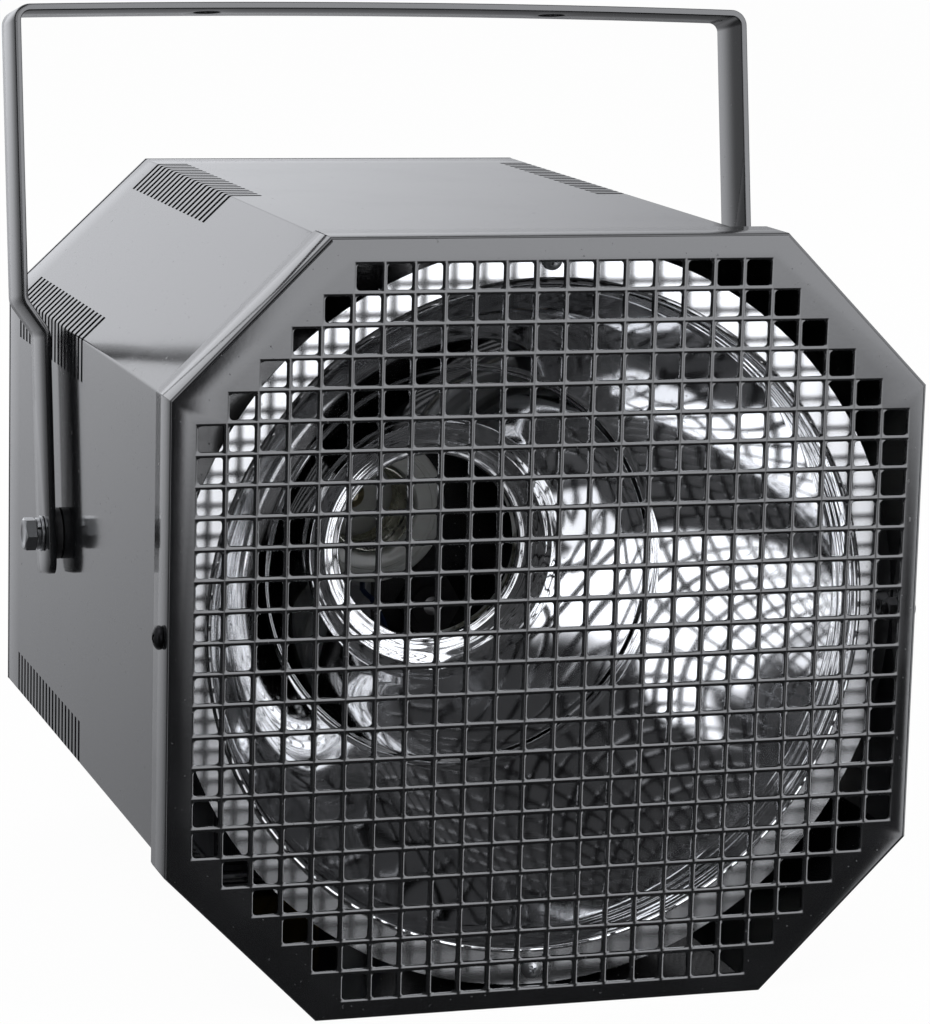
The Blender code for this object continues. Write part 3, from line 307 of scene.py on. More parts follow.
@dataclass(frozen=True)
class SpunMirror(Finish):
    """Spun and polished aluminium: fine turning lines, swirls, hair scratches, dull spots."""

    colour: Colour = (0.91, 0.915, 0.925)
    worn_colour: Colour = (0.50, 0.51, 0.53)
    roughness: float = 0.032
    rim: float = 132.5
    rim_roughness: float = 0.15

    def inputs(self, graph: Graph) -> dict[str, Value | float]:
        """Turning lines follow the radius from the lamp axis; the rim was left duller.

        Args:
            graph: the material\'s nodes.

        Returns:
            What feeds the shader\'s sockets.
        """
        x, _, z = graph.split(graph.place())
        drop = z - AXIS_HEIGHT * MM
        radius = (x * x + drop * drop).function("SQRT")
        reach = graph.value("ShaderNodeCombineXYZ", None, {"X": radius})
        fine = graph.noise(2600.0, 3.0, reach)
        broad = graph.noise(70.0, 2.0, reach)
        smear = graph.noise(26.0, 5.0, roughness=0.62).step(0.45, 0.75)
        hairs = graph.hairlines(38.0, 0.012, 0.56) + graph.hairlines(90.0, 0.010, 0.60) * 0.6
        spots = graph.noise(240.0, 1.0).step(0.74, 0.78)
        wear = (hairs * 0.55 + spots * 0.5).function("MINIMUM", 1.0)
        dull = radius.step(self.rim * MM, (self.rim + 1.5) * MM) * self.rim_roughness
        return {
            "Base Color": graph.mix(wear * 0.6 + smear * 0.06, self.colour, self.worn_colour),
            "Metallic": 1.0,
            "Roughness": smear * 0.025 + fine * 0.012 + wear * 0.15 + dull + self.roughness,
            "Normal": graph.bump(broad + fine * 0.04, 0.014),
        }


@dataclass(frozen=True)
class Plated(Finish):
    """Plated or bare metal with a soft, slightly uneven sheen."""

    colour: Colour = (0.66, 0.67, 0.68)
    shade: Colour = (0.40, 0.41, 0.42)
    roughness: float = 0.26
    grain: float = 1800.0

    def inputs(self, graph: Graph) -> dict[str, Value | float]:
        """Cloudy plating over a fine grain.

        Args:
            graph: the material\'s nodes.

        Returns:
            What feeds the shader\'s sockets.
        """
        cloud = graph.noise(180.0, 4.0).step(0.35, 0.75)
        grain = graph.noise(self.grain)
        return {
            "Base Color": graph.mix(cloud * 0.7, self.colour, self.shade),
            "Metallic": 1.0,
            "Roughness": cloud * 0.14 + grain * 0.06 + self.roughness,
            "Normal": graph.bump(grain, 0.006),
        }


@dataclass(frozen=True)
class Spangled(Finish):
    """Hot-dip galvanised sheet with its crystal spangle."""

    colour: Colour = (0.62, 0.64, 0.65)
    shade: Colour = (0.42, 0.44, 0.46)
    crystals: float = 150.0

    def inputs(self, graph: Graph) -> dict[str, Value | float]:
        """Each crystal has its own tone and gloss.

        Args:
            graph: the material\'s nodes.

        Returns:
            What feeds the shader\'s sockets.
        """
        inputs = {"Vector": graph.place(), "Scale": self.crystals}
        tone = graph.split(graph.value("ShaderNodeTexVoronoi", None, inputs, "Color"))[0]
        return {
            "Base Color": graph.mix(tone, self.colour, self.shade),
            "Metallic": 1.0,
            "Roughness": tone * 0.18 + 0.34,
            "Normal": graph.bump(graph.noise(700.0) + tone * 0.5, 0.006),
        }


@dataclass(frozen=True)
class Glaze(Finish):
    """White glazed porcelain, a little grey with age and heat."""

    colour: Colour = (0.80, 0.82, 0.81)
    stain: Colour = (0.50, 0.51, 0.49)
    roughness: float = 0.14

    def inputs(self, graph: Graph) -> dict[str, Value | float]:
        """Faint stains, pin holes and the glaze's own ripple.

        Args:
            graph: the material\'s nodes.

        Returns:
            What feeds the shader\'s sockets.
        """
        stain = graph.noise(40.0, 5.0).step(0.45, 0.80)
        pin = graph.noise(900.0, 1.0).step(0.74, 0.77)
        return {
            "Base Color": graph.mix(stain * 0.6 + pin * 0.3, self.colour, self.stain),
            "Roughness": stain * 0.10 + self.roughness,
            "Coat Weight": 0.5,
            "Normal": graph.bump(graph.noise(130.0) - pin * 0.4, 0.03),
        }


@dataclass(frozen=True)
class Moulding(Finish):
    """Moulded plastic with a fine spark-eroded grain."""

    colour: Colour = (0.022, 0.022, 0.024)
    scuffed: Colour = (0.055, 0.055, 0.058)
    roughness: float = 0.46
    grain: float = 1500.0

    def inputs(self, graph: Graph) -> dict[str, Value | float]:
        """Grain and light scuffs.

        Args:
            graph: the material\'s nodes.

        Returns:
            What feeds the shader\'s sockets.
        """
        scuff = graph.noise(60.0, 5.0, roughness=0.65).step(0.50, 0.80)
        return {
            "Base Color": graph.mix(scuff * 0.7, self.colour, self.scuffed),
            "Roughness": scuff * 0.10 + self.roughness,
            "Normal": graph.bump(graph.noise(self.grain), 0.02),
        }


@dataclass(frozen=True)
class Laminated(Finish):
    """Varnished stack of thin steel sheets, edges showing as fine lines along the stack."""

    colour: Colour = (0.115, 0.120, 0.135)
    edge: Colour = (0.030, 0.030, 0.033)
    pitch: float = 0.9

    def inputs(self, graph: Graph) -> dict[str, Value | float]:
        """The sheets are stacked from left to right.

        Args:
            graph: the material\'s nodes.

        Returns:
            What feeds the shader\'s sockets.
        """
        x = graph.split(graph.place())[0]
        line = (x * (math.tau / (self.pitch * MM))).function("SINE").step(0.55, 0.95)
        patch = graph.noise(45.0, 4.0).step(0.40, 0.80)
        return {
            "Base Color": graph.mix(line * 0.8 + patch * 0.2, self.colour, self.edge),
            "Metallic": 0.6,
            "Roughness": patch * 0.15 + 0.38,
            "Normal": graph.bump(1 - line, 0.08),
        }


@dataclass(frozen=True)
class Taped(Finish):
    """Winding wrapped in overlapping turns of varnished tape."""

    colour: Colour = (0.42, 0.27, 0.07)
    seam: Colour = (0.20, 0.11, 0.03)
    pitch: float = 9.0

    def inputs(self, graph: Graph) -> dict[str, Value | float]:
        """Seams cross the winding on a slant.

        Args:
            graph: the material\'s nodes.

        Returns:
            What feeds the shader\'s sockets.
        """
        x, y, z = graph.split(graph.place())
        turn = ((y + x * 0.35 + z * 0.2) * (1 / (self.pitch * MM))).function("FRACT")
        patch = graph.noise(70.0, 4.0).step(0.40, 0.80)
        tone = turn.step(0.90, 1.0) * 0.8 + patch * 0.3
        return {
            "Base Color": graph.mix(tone, self.colour, self.seam),
            "Roughness": patch * 0.20 + 0.35,
            "Normal": graph.bump(turn + patch * 0.2, 0.12),
        }


PAINT = GlossPaint()
MIRROR = SpunMirror()
ZINC = Plated()
BLACK_STEEL = Plated((0.045, 0.045, 0.048), (0.020, 0.020, 0.022), 0.30)
CAN = Plated((0.68, 0.69, 0.70), (0.52, 0.53, 0.54), 0.34, 800.0)
BRASS = Plated((0.64, 0.57, 0.42), (0.42, 0.36, 0.24), 0.24)
NICKEL = Plated((0.78, 0.78, 0.70), (0.55, 0.55, 0.48), 0.20)
GALVANISED = Spangled()
PORCELAIN = Glaze()
NYLON = Moulding()
WHITE_PLASTIC = Moulding((0.74, 0.73, 0.69), (0.55, 0.54, 0.50), 0.42)
CORE = Laminated()
WINDING = Taped()
BROWN_LEAD = Moulding((0.13, 0.055, 0.022), (0.20, 0.10, 0.05), 0.36, 800.0)
BLUE_LEAD = Moulding((0.012, 0.030, 0.095), (0.03, 0.06, 0.15), 0.36, 800.0)


# Meshes


def upright(point: Point) -> Vector:
    """Turn a place (x, depth, height) in millimetres into world metres."""
    x, depth, height = point
    return Vector((x, depth - MIDDLE_DEPTH, height + AXIS_HEIGHT)) * MM


def around(steps: int) -> list[float]:
    """Return so many equal turns of a full circle, in radians."""
    return [math.tau * i / steps for i in range(steps)]


class Skin:
    """Points and faces gathered for one piece, in millimetres."""

    def __init__(self) -> None:
        """Start empty."""
        self.points: list[Point] = []
        self.faces: list[tuple[int, ...]] = []

    def ring(self, points: Iterable[Point]) -> list[int]:
        """Add points and return their numbers."""
        start = len(self.points)
        self.points += [tuple(point) for point in points]
        return list(range(start, len(self.points)))

    def bridge(self, first: Sequence[int], second: Sequence[int], closed: bool = True) -> None:
        """Join two rows of points with quads.

        Args:
            first: numbers of one row's points.
            second: numbers of the other's, as many.
            closed: whether the rows go all the way round.
        """
        count = len(first)
        for i in range(count if closed else count - 1):
            j = (i + 1) % count
            self.faces.append((first[i], first[j], second[j], second[i]))

    def loft(self, rings: Sequence[Iterable[Point]], looped: bool = False) -> Skin:
        """Join rings of points into a solid.

        Args:
            rings: closed rings with as many points each.
            looped: join the last ring to the first instead of capping both.

        Returns:
            The skin itself.
        """
        rows = [self.ring(points) for points in rings]
        for first, second in zip(rows, rows[1:]):
            self.bridge(first, second)
        if looped:
            self.bridge(rows[-1], rows[0])
        else:
            self.faces += [tuple(rows[0]), tuple(reversed(rows[-1]))]
        return self

    def sheet(self, outer: Sequence[Sequence[Point]], inner: Sequence[Sequence[Point]],
              keep: Callable[[int, int], bool] = lambda row, column: True) -> Skin:
        """Make a sheet with thickness from two grids of points, open where keep says no.

        Args:
            outer: rows of points on one face, each joining up with itself.
            inner: rows of points on the other face.
            keep: whether the cell after a row and a column is solid.

        Returns:
            The skin itself.
        """
        columns = len(outer[0])
        out, into = ([self.ring(row) for row in face] for face in (outer, inner))
        cells = {(i, j) for i in range(len(outer) - 1) for j in range(columns) if keep(i, j)}
        for i, j in cells:
            k = (j + 1) % columns
            self.faces.append((out[i][j], out[i][k], out[i + 1][k], out[i + 1][j]))
            self.faces.append((into[i + 1][j], into[i + 1][k], into[i][k], into[i][j]))
            sides = (((i - 1, j), (i, j), (i, k)), ((i + 1, j), (i + 1, k), (i + 1, j)),
                     ((i, (j - 1) % columns), (i + 1, j), (i, j)), ((i, k), (i, k), (i + 1, k)))
            for beyond, (a, b), (c, d) in sides:
                if beyond not in cells:
                    self.faces.append((out[c][d], out[a][b], into[a][b], into[c][d]))
        return self

    def turned(self, profile: Sequence[Point], steps: int) -> Skin:
        """Turn a closed profile of (radius, depth) points about the lamp axis."""
        return self.loft([[(r * math.sin(turn), depth, r * math.cos(turn)) for r, depth in profile]
                          for turn in around(steps)], looped=True)

    def spun(self, profile: Sequence[Point], steps: int) -> Skin:
        """Turn a closed profile of (radius, z) points about local Z."""
        return self.loft([[(r * math.cos(turn), r * math.sin(turn), z) for r, z in profile]
                          for turn in around(steps)], looped=True)

    def across(self, outline: Sequence[Point], reach: float) -> Skin:
        """Carry an outline of (depth, height) points from -reach to reach across."""
        return self.loft([[(x, *point) for point in outline] for x in (-reach, reach)])

    def mesh(self, name: str, smooth: float = 35.0,
             matrix: Matrix | None = None) -> bpy.types.Mesh:
        """Return the mesh, welded, facing outwards and in metres.

        Args:
            name: the mesh's name.
            smooth: shade smooth below this angle in degrees.
            matrix: a placing in millimetres, applied before the piece is stood in the world.

        Returns:
            The mesh, in world coordinates.
        """
        mesh = bpy.data.meshes.new(name)
        matrix = matrix or Matrix.Identity(4)
        places = [upright(matrix @ Vector(point)) for point in self.points]
        mesh.from_pydata(places, [], self.faces)
        work = bmesh.new()
        work.from_mesh(mesh)
        bmesh.ops.remove_doubles(work, verts=work.verts, dist=0.002 * MM)
        bmesh.ops.dissolve_degenerate(work, dist=0.001 * MM, edges=work.edges)
        bmesh.ops.recalc_face_normals(work, faces=work.faces)
        work.to_mesh(mesh)
        work.free()
        return shaded(mesh, smooth)


def shaded(mesh: bpy.types.Mesh, smooth: float) -> bpy.types.Mesh:
    """Shade a mesh smooth but for edges sharper than an angle in degrees, and return it."""
    mesh.shade_smooth()
    mesh.set_sharp_from_angle(angle=math.radians(smooth))
    return mesh


def stand(name: str, data: bpy.types.ID) -> bpy.types.Object:
    """Add an object to the scene and return it."""
    made = bpy.data.objects.new(name, data)
    bpy.context.scene.collection.objects.link(made)
    return made


def dress(piece: bpy.types.Object, finish: Finish) -> None:
    """Give an object one finish all over."""
    piece.data.materials.clear()
    piece.data.materials.append(finish.material())


def add_piece(name: str, mesh: bpy.types.Mesh, finish: Finish, body: Body, slot: Slot,
              stands_for: Sequence[str]) -> None:
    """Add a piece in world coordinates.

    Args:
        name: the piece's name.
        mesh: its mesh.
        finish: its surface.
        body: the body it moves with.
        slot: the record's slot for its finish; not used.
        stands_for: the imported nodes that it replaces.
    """
    piece = stand(name, mesh)
    dress(piece, finish)
    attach(piece, body.value)
    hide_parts(*stands_for)
    LOG.info("%s: %d faces", name, len(mesh.polygons))


def cut(mesh: bpy.types.Mesh, cutters: Sequence[bpy.types.Mesh],
        smooth: float = 35.0) -> bpy.types.Mesh:
    """Cut meshes out of another.

    Args:
        mesh: what is cut.
        cutters: what is cut out of it.
        smooth: shade smooth below this angle in degrees.

    Returns:
        The mesh that is left.
    """
    target = stand("target", mesh)
    tools = [stand("cutter", cutter) for cutter in cutters]
    for tool in tools:
        modifier = target.modifiers.new("cut", "BOOLEAN")
        modifier.object = tool
        modifier.solver = "EXACT"
    bpy.context.view_layer.update()
    final = target.evaluated_get(bpy.context.evaluated_depsgraph_get())
    result = bpy.data.meshes.new_from_object(final)
    for used in tools + [target]:
        bpy.data.objects.remove(used)
    return shaded(result, smooth)


def arc(centre: Point, radius: float, start: float, end: float,
        steps: int) -> list[tuple[float, float]]:
    """Trace an arc.

    Args:
        centre: its centre.
        radius: its radius.
        start: its first angle in degrees.
        end: its last angle in degrees.
        steps: how many pieces it has.

    Returns:
        Its points, both ends with them.
    """
    angles = [math.radians(start + (end - start) * i / steps) for i in range(steps + 1)]
    return [(centre[0] + radius * math.cos(a), centre[1] + radius * math.sin(a)) for a in angles]


def hexagon(flats: float, turn: float) -> float:
    """Distance from a hexagon's middle to its edge, from its size over flats, at a turn."""
    return flats / 2 / math.cos(turn % (math.pi / 3) - math.pi / 6)


def octagon(size: float, half_side: float, half_top: float) -> list[Vector]:
    """Trace an octagon as wide as it is high, anticlockwise from the lower right.

    Args:
        size: its width and height.
        half_side: half of its upright sides.
        half_top: half of its top and bottom.

    Returns:
        Its corners.
    """
    quarter = [(size / 2, half_side), (half_top, size / 2)]
    upper = quarter + [(-x, y) for x, y in reversed(quarter)]
    lower = [(-x, -y) for x, y in upper]
    return [Vector(corner) for corner in lower[-1:] + upper + lower[:-1]]


@dataclass
class Corner:
    """One corner of an outline: its place, its outward bisector and half its bend."""

    place: Vector
    into: Vector
    out: Vector
    bisector: Vector
    half_bend: float
    tightest: float = 0.05

    def at(self, inset: float, along: float = 0.0) -> Vector:
        """The corner moved inwards, then along the side before (negative) or after it."""
        side = self.out if along > 0 else self.into
        return self.place - self.bisector * inset / math.cos(self.half_bend) + side * along

    def rounded(self, inset: float, radius: float, share: float) -> Vector:
        """Find a point on the corner's arc.

        Args:
            inset: how far inside the outline the arc is.
            radius: the bend's radius on the outline.
            share: from -1 to 1 across the bend.

        Returns:
            The point.
        """
        roomy = inset <= radius - self.tightest
        centre = self.at(radius if roomy else inset)
        left = radius - inset if roomy else self.tightest
        return centre + Matrix.Rotation(share * self.half_bend, 2) @ self.bisector * left


def corners_of(outline: Sequence[Vector]) -> list[Corner]:
    """Measure the corners of an outline.

    Args:
        outline: its points, anticlockwise.

    Returns:
        Its corners.
    """
    found = []
    for before, place, after in zip(outline[-1:] + outline, outline, outline[1:] + outline[:1]):
        into, out = (place - before).normalized(), (after - place).normalized()
        normals = [Vector((side.y, -side.x)) for side in (into, out)]
        bisector = (normals[0] + normals[1]).normalized()
        half_bend = math.acos(min(1.0, bisector.dot(normals[0])))
        found.append(Corner(place, into, out, bisector, half_bend))
    return found


# Fasteners


@dataclass
class Screw:
    """A pan-head screw with a cross recess; it points along local Z, its seat at 0."""

    shank: float = 2.0
    head: float = 4.0
    rise: float = 2.4
    length: float = 8.0
    recess: float = 0.52
    recess_width: float = 0.12
    steps: int = 32

    def mesh(self, name: str, matrix: Matrix) -> bpy.types.Mesh:
        """Build the screw.

        Args:
            name: the mesh's name.
            matrix: its placing in millimetres.

        Returns:
            The mesh.
        """
        head, shank, rise, tip = self.head, self.shank, self.rise, -self.length
        dome = [(head * math.cos(a), rise * (0.30 + 0.70 * math.sin(a)))
                for a in map(math.radians, (0, 18, 36, 54, 70, 82))]
        profile = [(0.0, tip), (shank * 0.7, tip), (shank, tip + 0.8), (shank, 0.0),
                   (head * 0.96, 0.0), *dome, (0.0, rise)]
        reach, wide = head * self.recess, head * self.recess_width
        levels = ((rise * 0.35, reach * 0.45), (rise + 1.0, reach * 1.25))
        blade = [[(-x, -wide, z), (x, -wide, z), (x, wide, z), (-x, wide, z)] for z, x in levels]
        blades = []
        for turn in (45, 135):
            spin = matrix @ Matrix.Rotation(math.radians(turn), 4, "Z")
            blades.append(Skin().loft(blade).mesh("blade", matrix=spin))
        return cut(Skin().spun(profile, self.steps).mesh(name, matrix=matrix), blades)


def facing(x: float, depth: float, height: float, direction: Point) -> Matrix:
    """Return a placing in millimetres whose local Z points along a direction."""
    turn = Vector(direction).to_track_quat("Z", "Y").to_matrix().to_4x4()
    return Matrix.Translation((x, depth, height)) @ turn


# Sub-assemblies


@dataclass
class FrontFrame:
    """The folded front sheet with its grille, and the screws at its sides."""

    width: float = 304.2
    flat: float = 183.4
    sheet: float = 1.5
    depth: float = 24.8
    bend: float = 1.7
    lip: float = 0.3
    corner_gap: float = 0.35
    gap_run: float = 2.0
    pitch: float = 12.0
    hole: float = 9.95
    hole_corner: float = 1.5
    edge: float = 0.22
    cells: int = 24
    steps: int = 5
    shift: tuple[float, float] = (1.4, -1.0)
    screw: Screw = field(default_factory=lambda: Screw(2.5, 4.7, 3.3, 10.0))
    screw_depth: float = 10.5
    screw_proud: float = 0.3

    def build(self) -> None:
        """Make the sheet and its two screws."""
        skin = Skin()
        corners = corners_of(octagon(self.width, self.flat / 2, self.flat / 2))
        self.plate(skin, [corner.at(self.bend) for corner in corners])
        for first, second in zip(corners, corners[1:] + corners[:1]):
            self.flange(skin, first, second)
        add_piece("front_sheet", skin.mesh("front_sheet", 40), PAINT, Body.FRONT_FRAME,
                  Slot.BLACK_PAINT, ["front_grille", "front_flange"])
        seat = self.width / 2 + self.screw_proud
        for side, name in ((-1, "left"), (1, "right")):
            place = facing(side * seat, self.screw_depth, 0.0, (side, 0, 0))
            add_piece(f"front_screw_{name}", self.screw.mesh("front_screw", place), BLACK_STEEL,
                      Body.FRONT_FRAME, Slot.BLACK_STEEL, [f"frame_screw_{name}"])

    def grid(self, column: float, row: float) -> tuple[float, float]:
        """Return a place in the grid of cells as (x, height)."""
        return ((column - self.cells / 2) * self.pitch + self.shift[0],
                (row - self.cells / 2) * self.pitch + self.shift[1])

    def plate(self, skin: Skin, border: Sequence[Vector]) -> None:
        """Punch the holes and fill the margin round them.

        Args:
            skin: what it is added to.
            border: where the margin ends.
        """
        cells = set()
        for row in range(self.cells):
            missing = max(0, self.steps - min(row, self.cells - 1 - row))
            cells |= {(column, row) for column in range(missing, self.cells - missing)}
        knots: dict[tuple[int, int, int], int] = {}

        def knot(column: int, row: int, face: int) -> int:
            """Number of a corner point of the grid on the front (0) or back (1) face."""
            if (column, row, face) not in knots:
                x, height = self.grid(column, row)
                knots[column, row, face] = skin.ring([(x, face * self.sheet, height)])[0]
            return knots[column, row, face]

        levels = ((self.edge, 0.0), (self.edge * 0.3, self.edge * 0.3), (0.0, self.edge),
                  (0.0, self.sheet))
        for column, row in sorted(cells):
            centre = self.grid(column + 0.5, row + 0.5)
            loops = [skin.ring(self.hole_loop(centre, grow, depth)) for grow, depth in levels]
            for first, second in zip(loops, loops[1:]):
                skin.bridge(first, second)
            for face, loop in ((0, loops[0]), (1, loops[-1])):
                ends = ((1, 0), (1, 1), (0, 1), (0, 0))
                self.surround(skin, loop, [knot(column + a, row + b, face) for a, b in ends])
        self.margin(skin, cells, knot, border)

    def hole_loop(self, middle: Point, grow: float, depth: float) -> list[Point]:
        """Trace a rounded square hole from its lower right corner anticlockwise.

        Args:
            middle: the hole's middle as (x, height).
            grow: how far its sides are moved outwards.
            depth: where it is traced.

        Returns:
            Its points.
        """
        reach = self.hole / 2 - self.hole_corner
        points = []
        for turn, (a, b) in zip((-90, 0, 90, 180), ((1, -1), (1, 1), (-1, 1), (-1, -1))):
            centre = (middle[0] + a * reach, middle[1] + b * reach)
            corner = arc(centre, self.hole_corner + grow, turn, turn + 90, 4)
            points += [(x, depth, height) for x, height in corner]
        return points

    @staticmethod
    def surround(skin: Skin, loop: Sequence[int], ends: Sequence[int]) -> None:
        """Join a hole's loop to the four corner points of its cell.

        Args:
            skin: what it is added to.
            loop: numbers of the loop's points.
            ends: numbers of the cell's corner points.
        """
        run = len(loop) // 4
        for k in range(4):
            part = loop[k * run:(k + 1) * run]
            skin.faces += [(a, b, ends[k]) for a, b in zip(part, part[1:])]
            after = loop[(k + 1) * run % len(loop)]
            skin.faces.append((part[-1], after, ends[(k + 1) % 4], ends[k]))

    def margin(self, skin: Skin, cells: set[tuple[int, int]],
               knot: Callable[[int, int, int], int], border: Sequence[Vector]) -> None:
        """Fill the sheet between the stepped edge of the grille and the bend.

        Args:
            skin: what it is added to.
            cells: the cells that have a hole.
            knot: gives the number of a corner point of the grid.
            border: where the margin ends.
        """
        steps = {}
        for c, r in cells:
            ends = ((c, r), (c + 1, r), (c + 1, r + 1), (c, r + 1))
            beyond = ((c, r - 1), (c + 1, r), (c, r + 1), (c - 1, r))
            for start, end, cell in zip(ends, ends[1:] + ends[:1], beyond):
                if cell not in cells:
                    steps[start] = end
        walk = [min(steps)]
        while steps[walk[-1]] != walk[0]:
            walk.append(steps[walk[-1]])
        for face in (0, 1):
            inner = [knot(column, row, face) for column, row in walk]
            outer = skin.ring([(place.x, face * self.sheet, place.y) for place in border])
            flat = [[Vector((skin.points[i][0], skin.points[i][2], 0.0)) for i in loop]
                    for loop in (outer, inner)]
            numbers = outer + inner
            skin.faces += [tuple(numbers[i] for i in triangle)
                           for triangle in tessellate_polygon(flat)]

    def flange(self, skin: Skin, first: Corner, second: Corner) -> None:
        """Fold one flange back, with a fine gap at the corners beyond the bend.

        Args:
            skin: what it is added to.
            first: the corner that it starts at.
            second: the corner that it ends at.
        """
        bend, sheet, lip, depth = self.bend, self.sheet, self.lip, self.depth
        section = [(bend - u, bend - v) for u, v in arc((0, 0), bend, 90, 0, 6)]
        section += [(0.0, depth - lip), (lip * 0.3, depth - lip * 0.3), (lip, depth),
                    (sheet - lip, depth), (sheet, depth - lip)]
        section += [(bend - u, bend - v) for u, v in arc((0, 0), bend - sheet, 0, 90, 3)]
        rows = []
        for corner, side in ((first, 1), (second, -1)):
            ring = []
            for inset, back in section:
                gap = self.corner_gap * min(1.0, max(0.0, back - sheet) / self.gap_run)
                place = corner.at(inset, side * max(gap, 1e-6))
                ring.append((place.x, back, place.y))
            rows.append(skin.ring(ring))
        skin.bridge(*rows, closed=False)
        skin.faces += [tuple(row) for row in rows]


@dataclass
class Housing:
    """The folded and slotted shell."""

    width: float = 298.0
    side_flat: float = 179.6
    top_flat: float = 174.0
    sheet: float = 1.2
    front: float = 2.1
    rear: float = 337.7
    bend: float = 1.8
    lip: float = 14.0
    slots: int = 20
    slot_pitch: float = 7.05
    slot_width: float = 3.4
    side_reach: tuple[float, float] = (17.8, 13.2)
    top_reach: tuple[float, float] = (13.4, 15.9)
    slot_start: float = 177.5
    pivot: tuple[float, float] = (222.0, 0.0)
    pivot_hole: float = 4.4
    notch: tuple[float, float] = (10.5, 2.9)

    def build(self) -> None:
        """Make the shell with its slots, pivot holes and screw notches."""
        corners = corners_of(octagon(self.width, self.side_flat / 2, self.top_flat / 2))
        half_slot = self.slot_width / 2
        middles = [self.slot_start + i * self.slot_pitch for i in range(self.slots)]
        depths = [self.front] + [m + half for m in middles for half in (-half_slot, half_slot)]
        rows = [((0.0, depth), (self.sheet, depth)) for depth in depths]
        base = self.rear - self.bend
        small = self.bend - self.sheet
        for a in map(math.radians, range(0, 91, 18)):
            rows.append(((self.bend * (1 - math.cos(a)), base + self.bend * math.sin(a)),
                         (self.bend - small * math.cos(a), base + small * math.sin(a))))
        rows.append(((self.lip, self.rear), (self.lip, self.rear - self.sheet)))
        outer, inner = [[self.row(corners, *row[face]) for row in rows] for face in (0, 1)]
        per_corner = len(outer[0]) // len(corners)

        def solid(row: int, column: int) -> bool:
            """Whether a cell is sheet and not slot."""
            return row % 2 == 0 or row >= 2 * self.slots or column % per_corner == per_corner - 1

        reach = self.width / 2 + CLEAR
        bore = arc(self.pivot, self.pivot_hole, 0, 345, 23)
        depth, radius = self.notch
        mouth = self.front - CLEAR
        notch = arc((depth, 0.0), radius, 90, -90, 12) + [(mouth, -radius), (mouth, radius)]
        cutters = [Skin().across(outline, reach).mesh("cutter") for outline in (bore, notch)]
        mesh = cut(Skin().sheet(outer, inner, solid).mesh("shell"), cutters, 40)
        add_piece("housing_sheet", mesh, PAINT, Body.HOUSING, Slot.BLACK_PAINT, ["housing_shell"])

    def row(self, corners: Sequence[Corner], inset: float, depth: float) -> list[Point]:
        """Trace one turn round the shell: slot end, bend and slot end at every corner.

        Args:
            corners: the shell's corners.
            inset: how far inside its outline the turn is.
            depth: where it is traced.

        Returns:
            Its points.
        """
        points = []
        for corner in corners:
            by_side = abs(corner.place.x) > abs(corner.place.y)
            straight, slanted = self.side_reach if by_side else self.top_reach
            enters_slant = abs(corner.out.x * corner.out.y) > 0.1
            before, after = (straight, slanted) if enters_slant else (slanted, straight)
            bend = [corner.rounded(inset, self.bend, share / 3) for share in range(-3, 4)]
            ring = [corner.at(inset, -before), *bend, corner.at(inset, after)]
            points += [(place.x, depth, place.y) for place in ring]
        return points


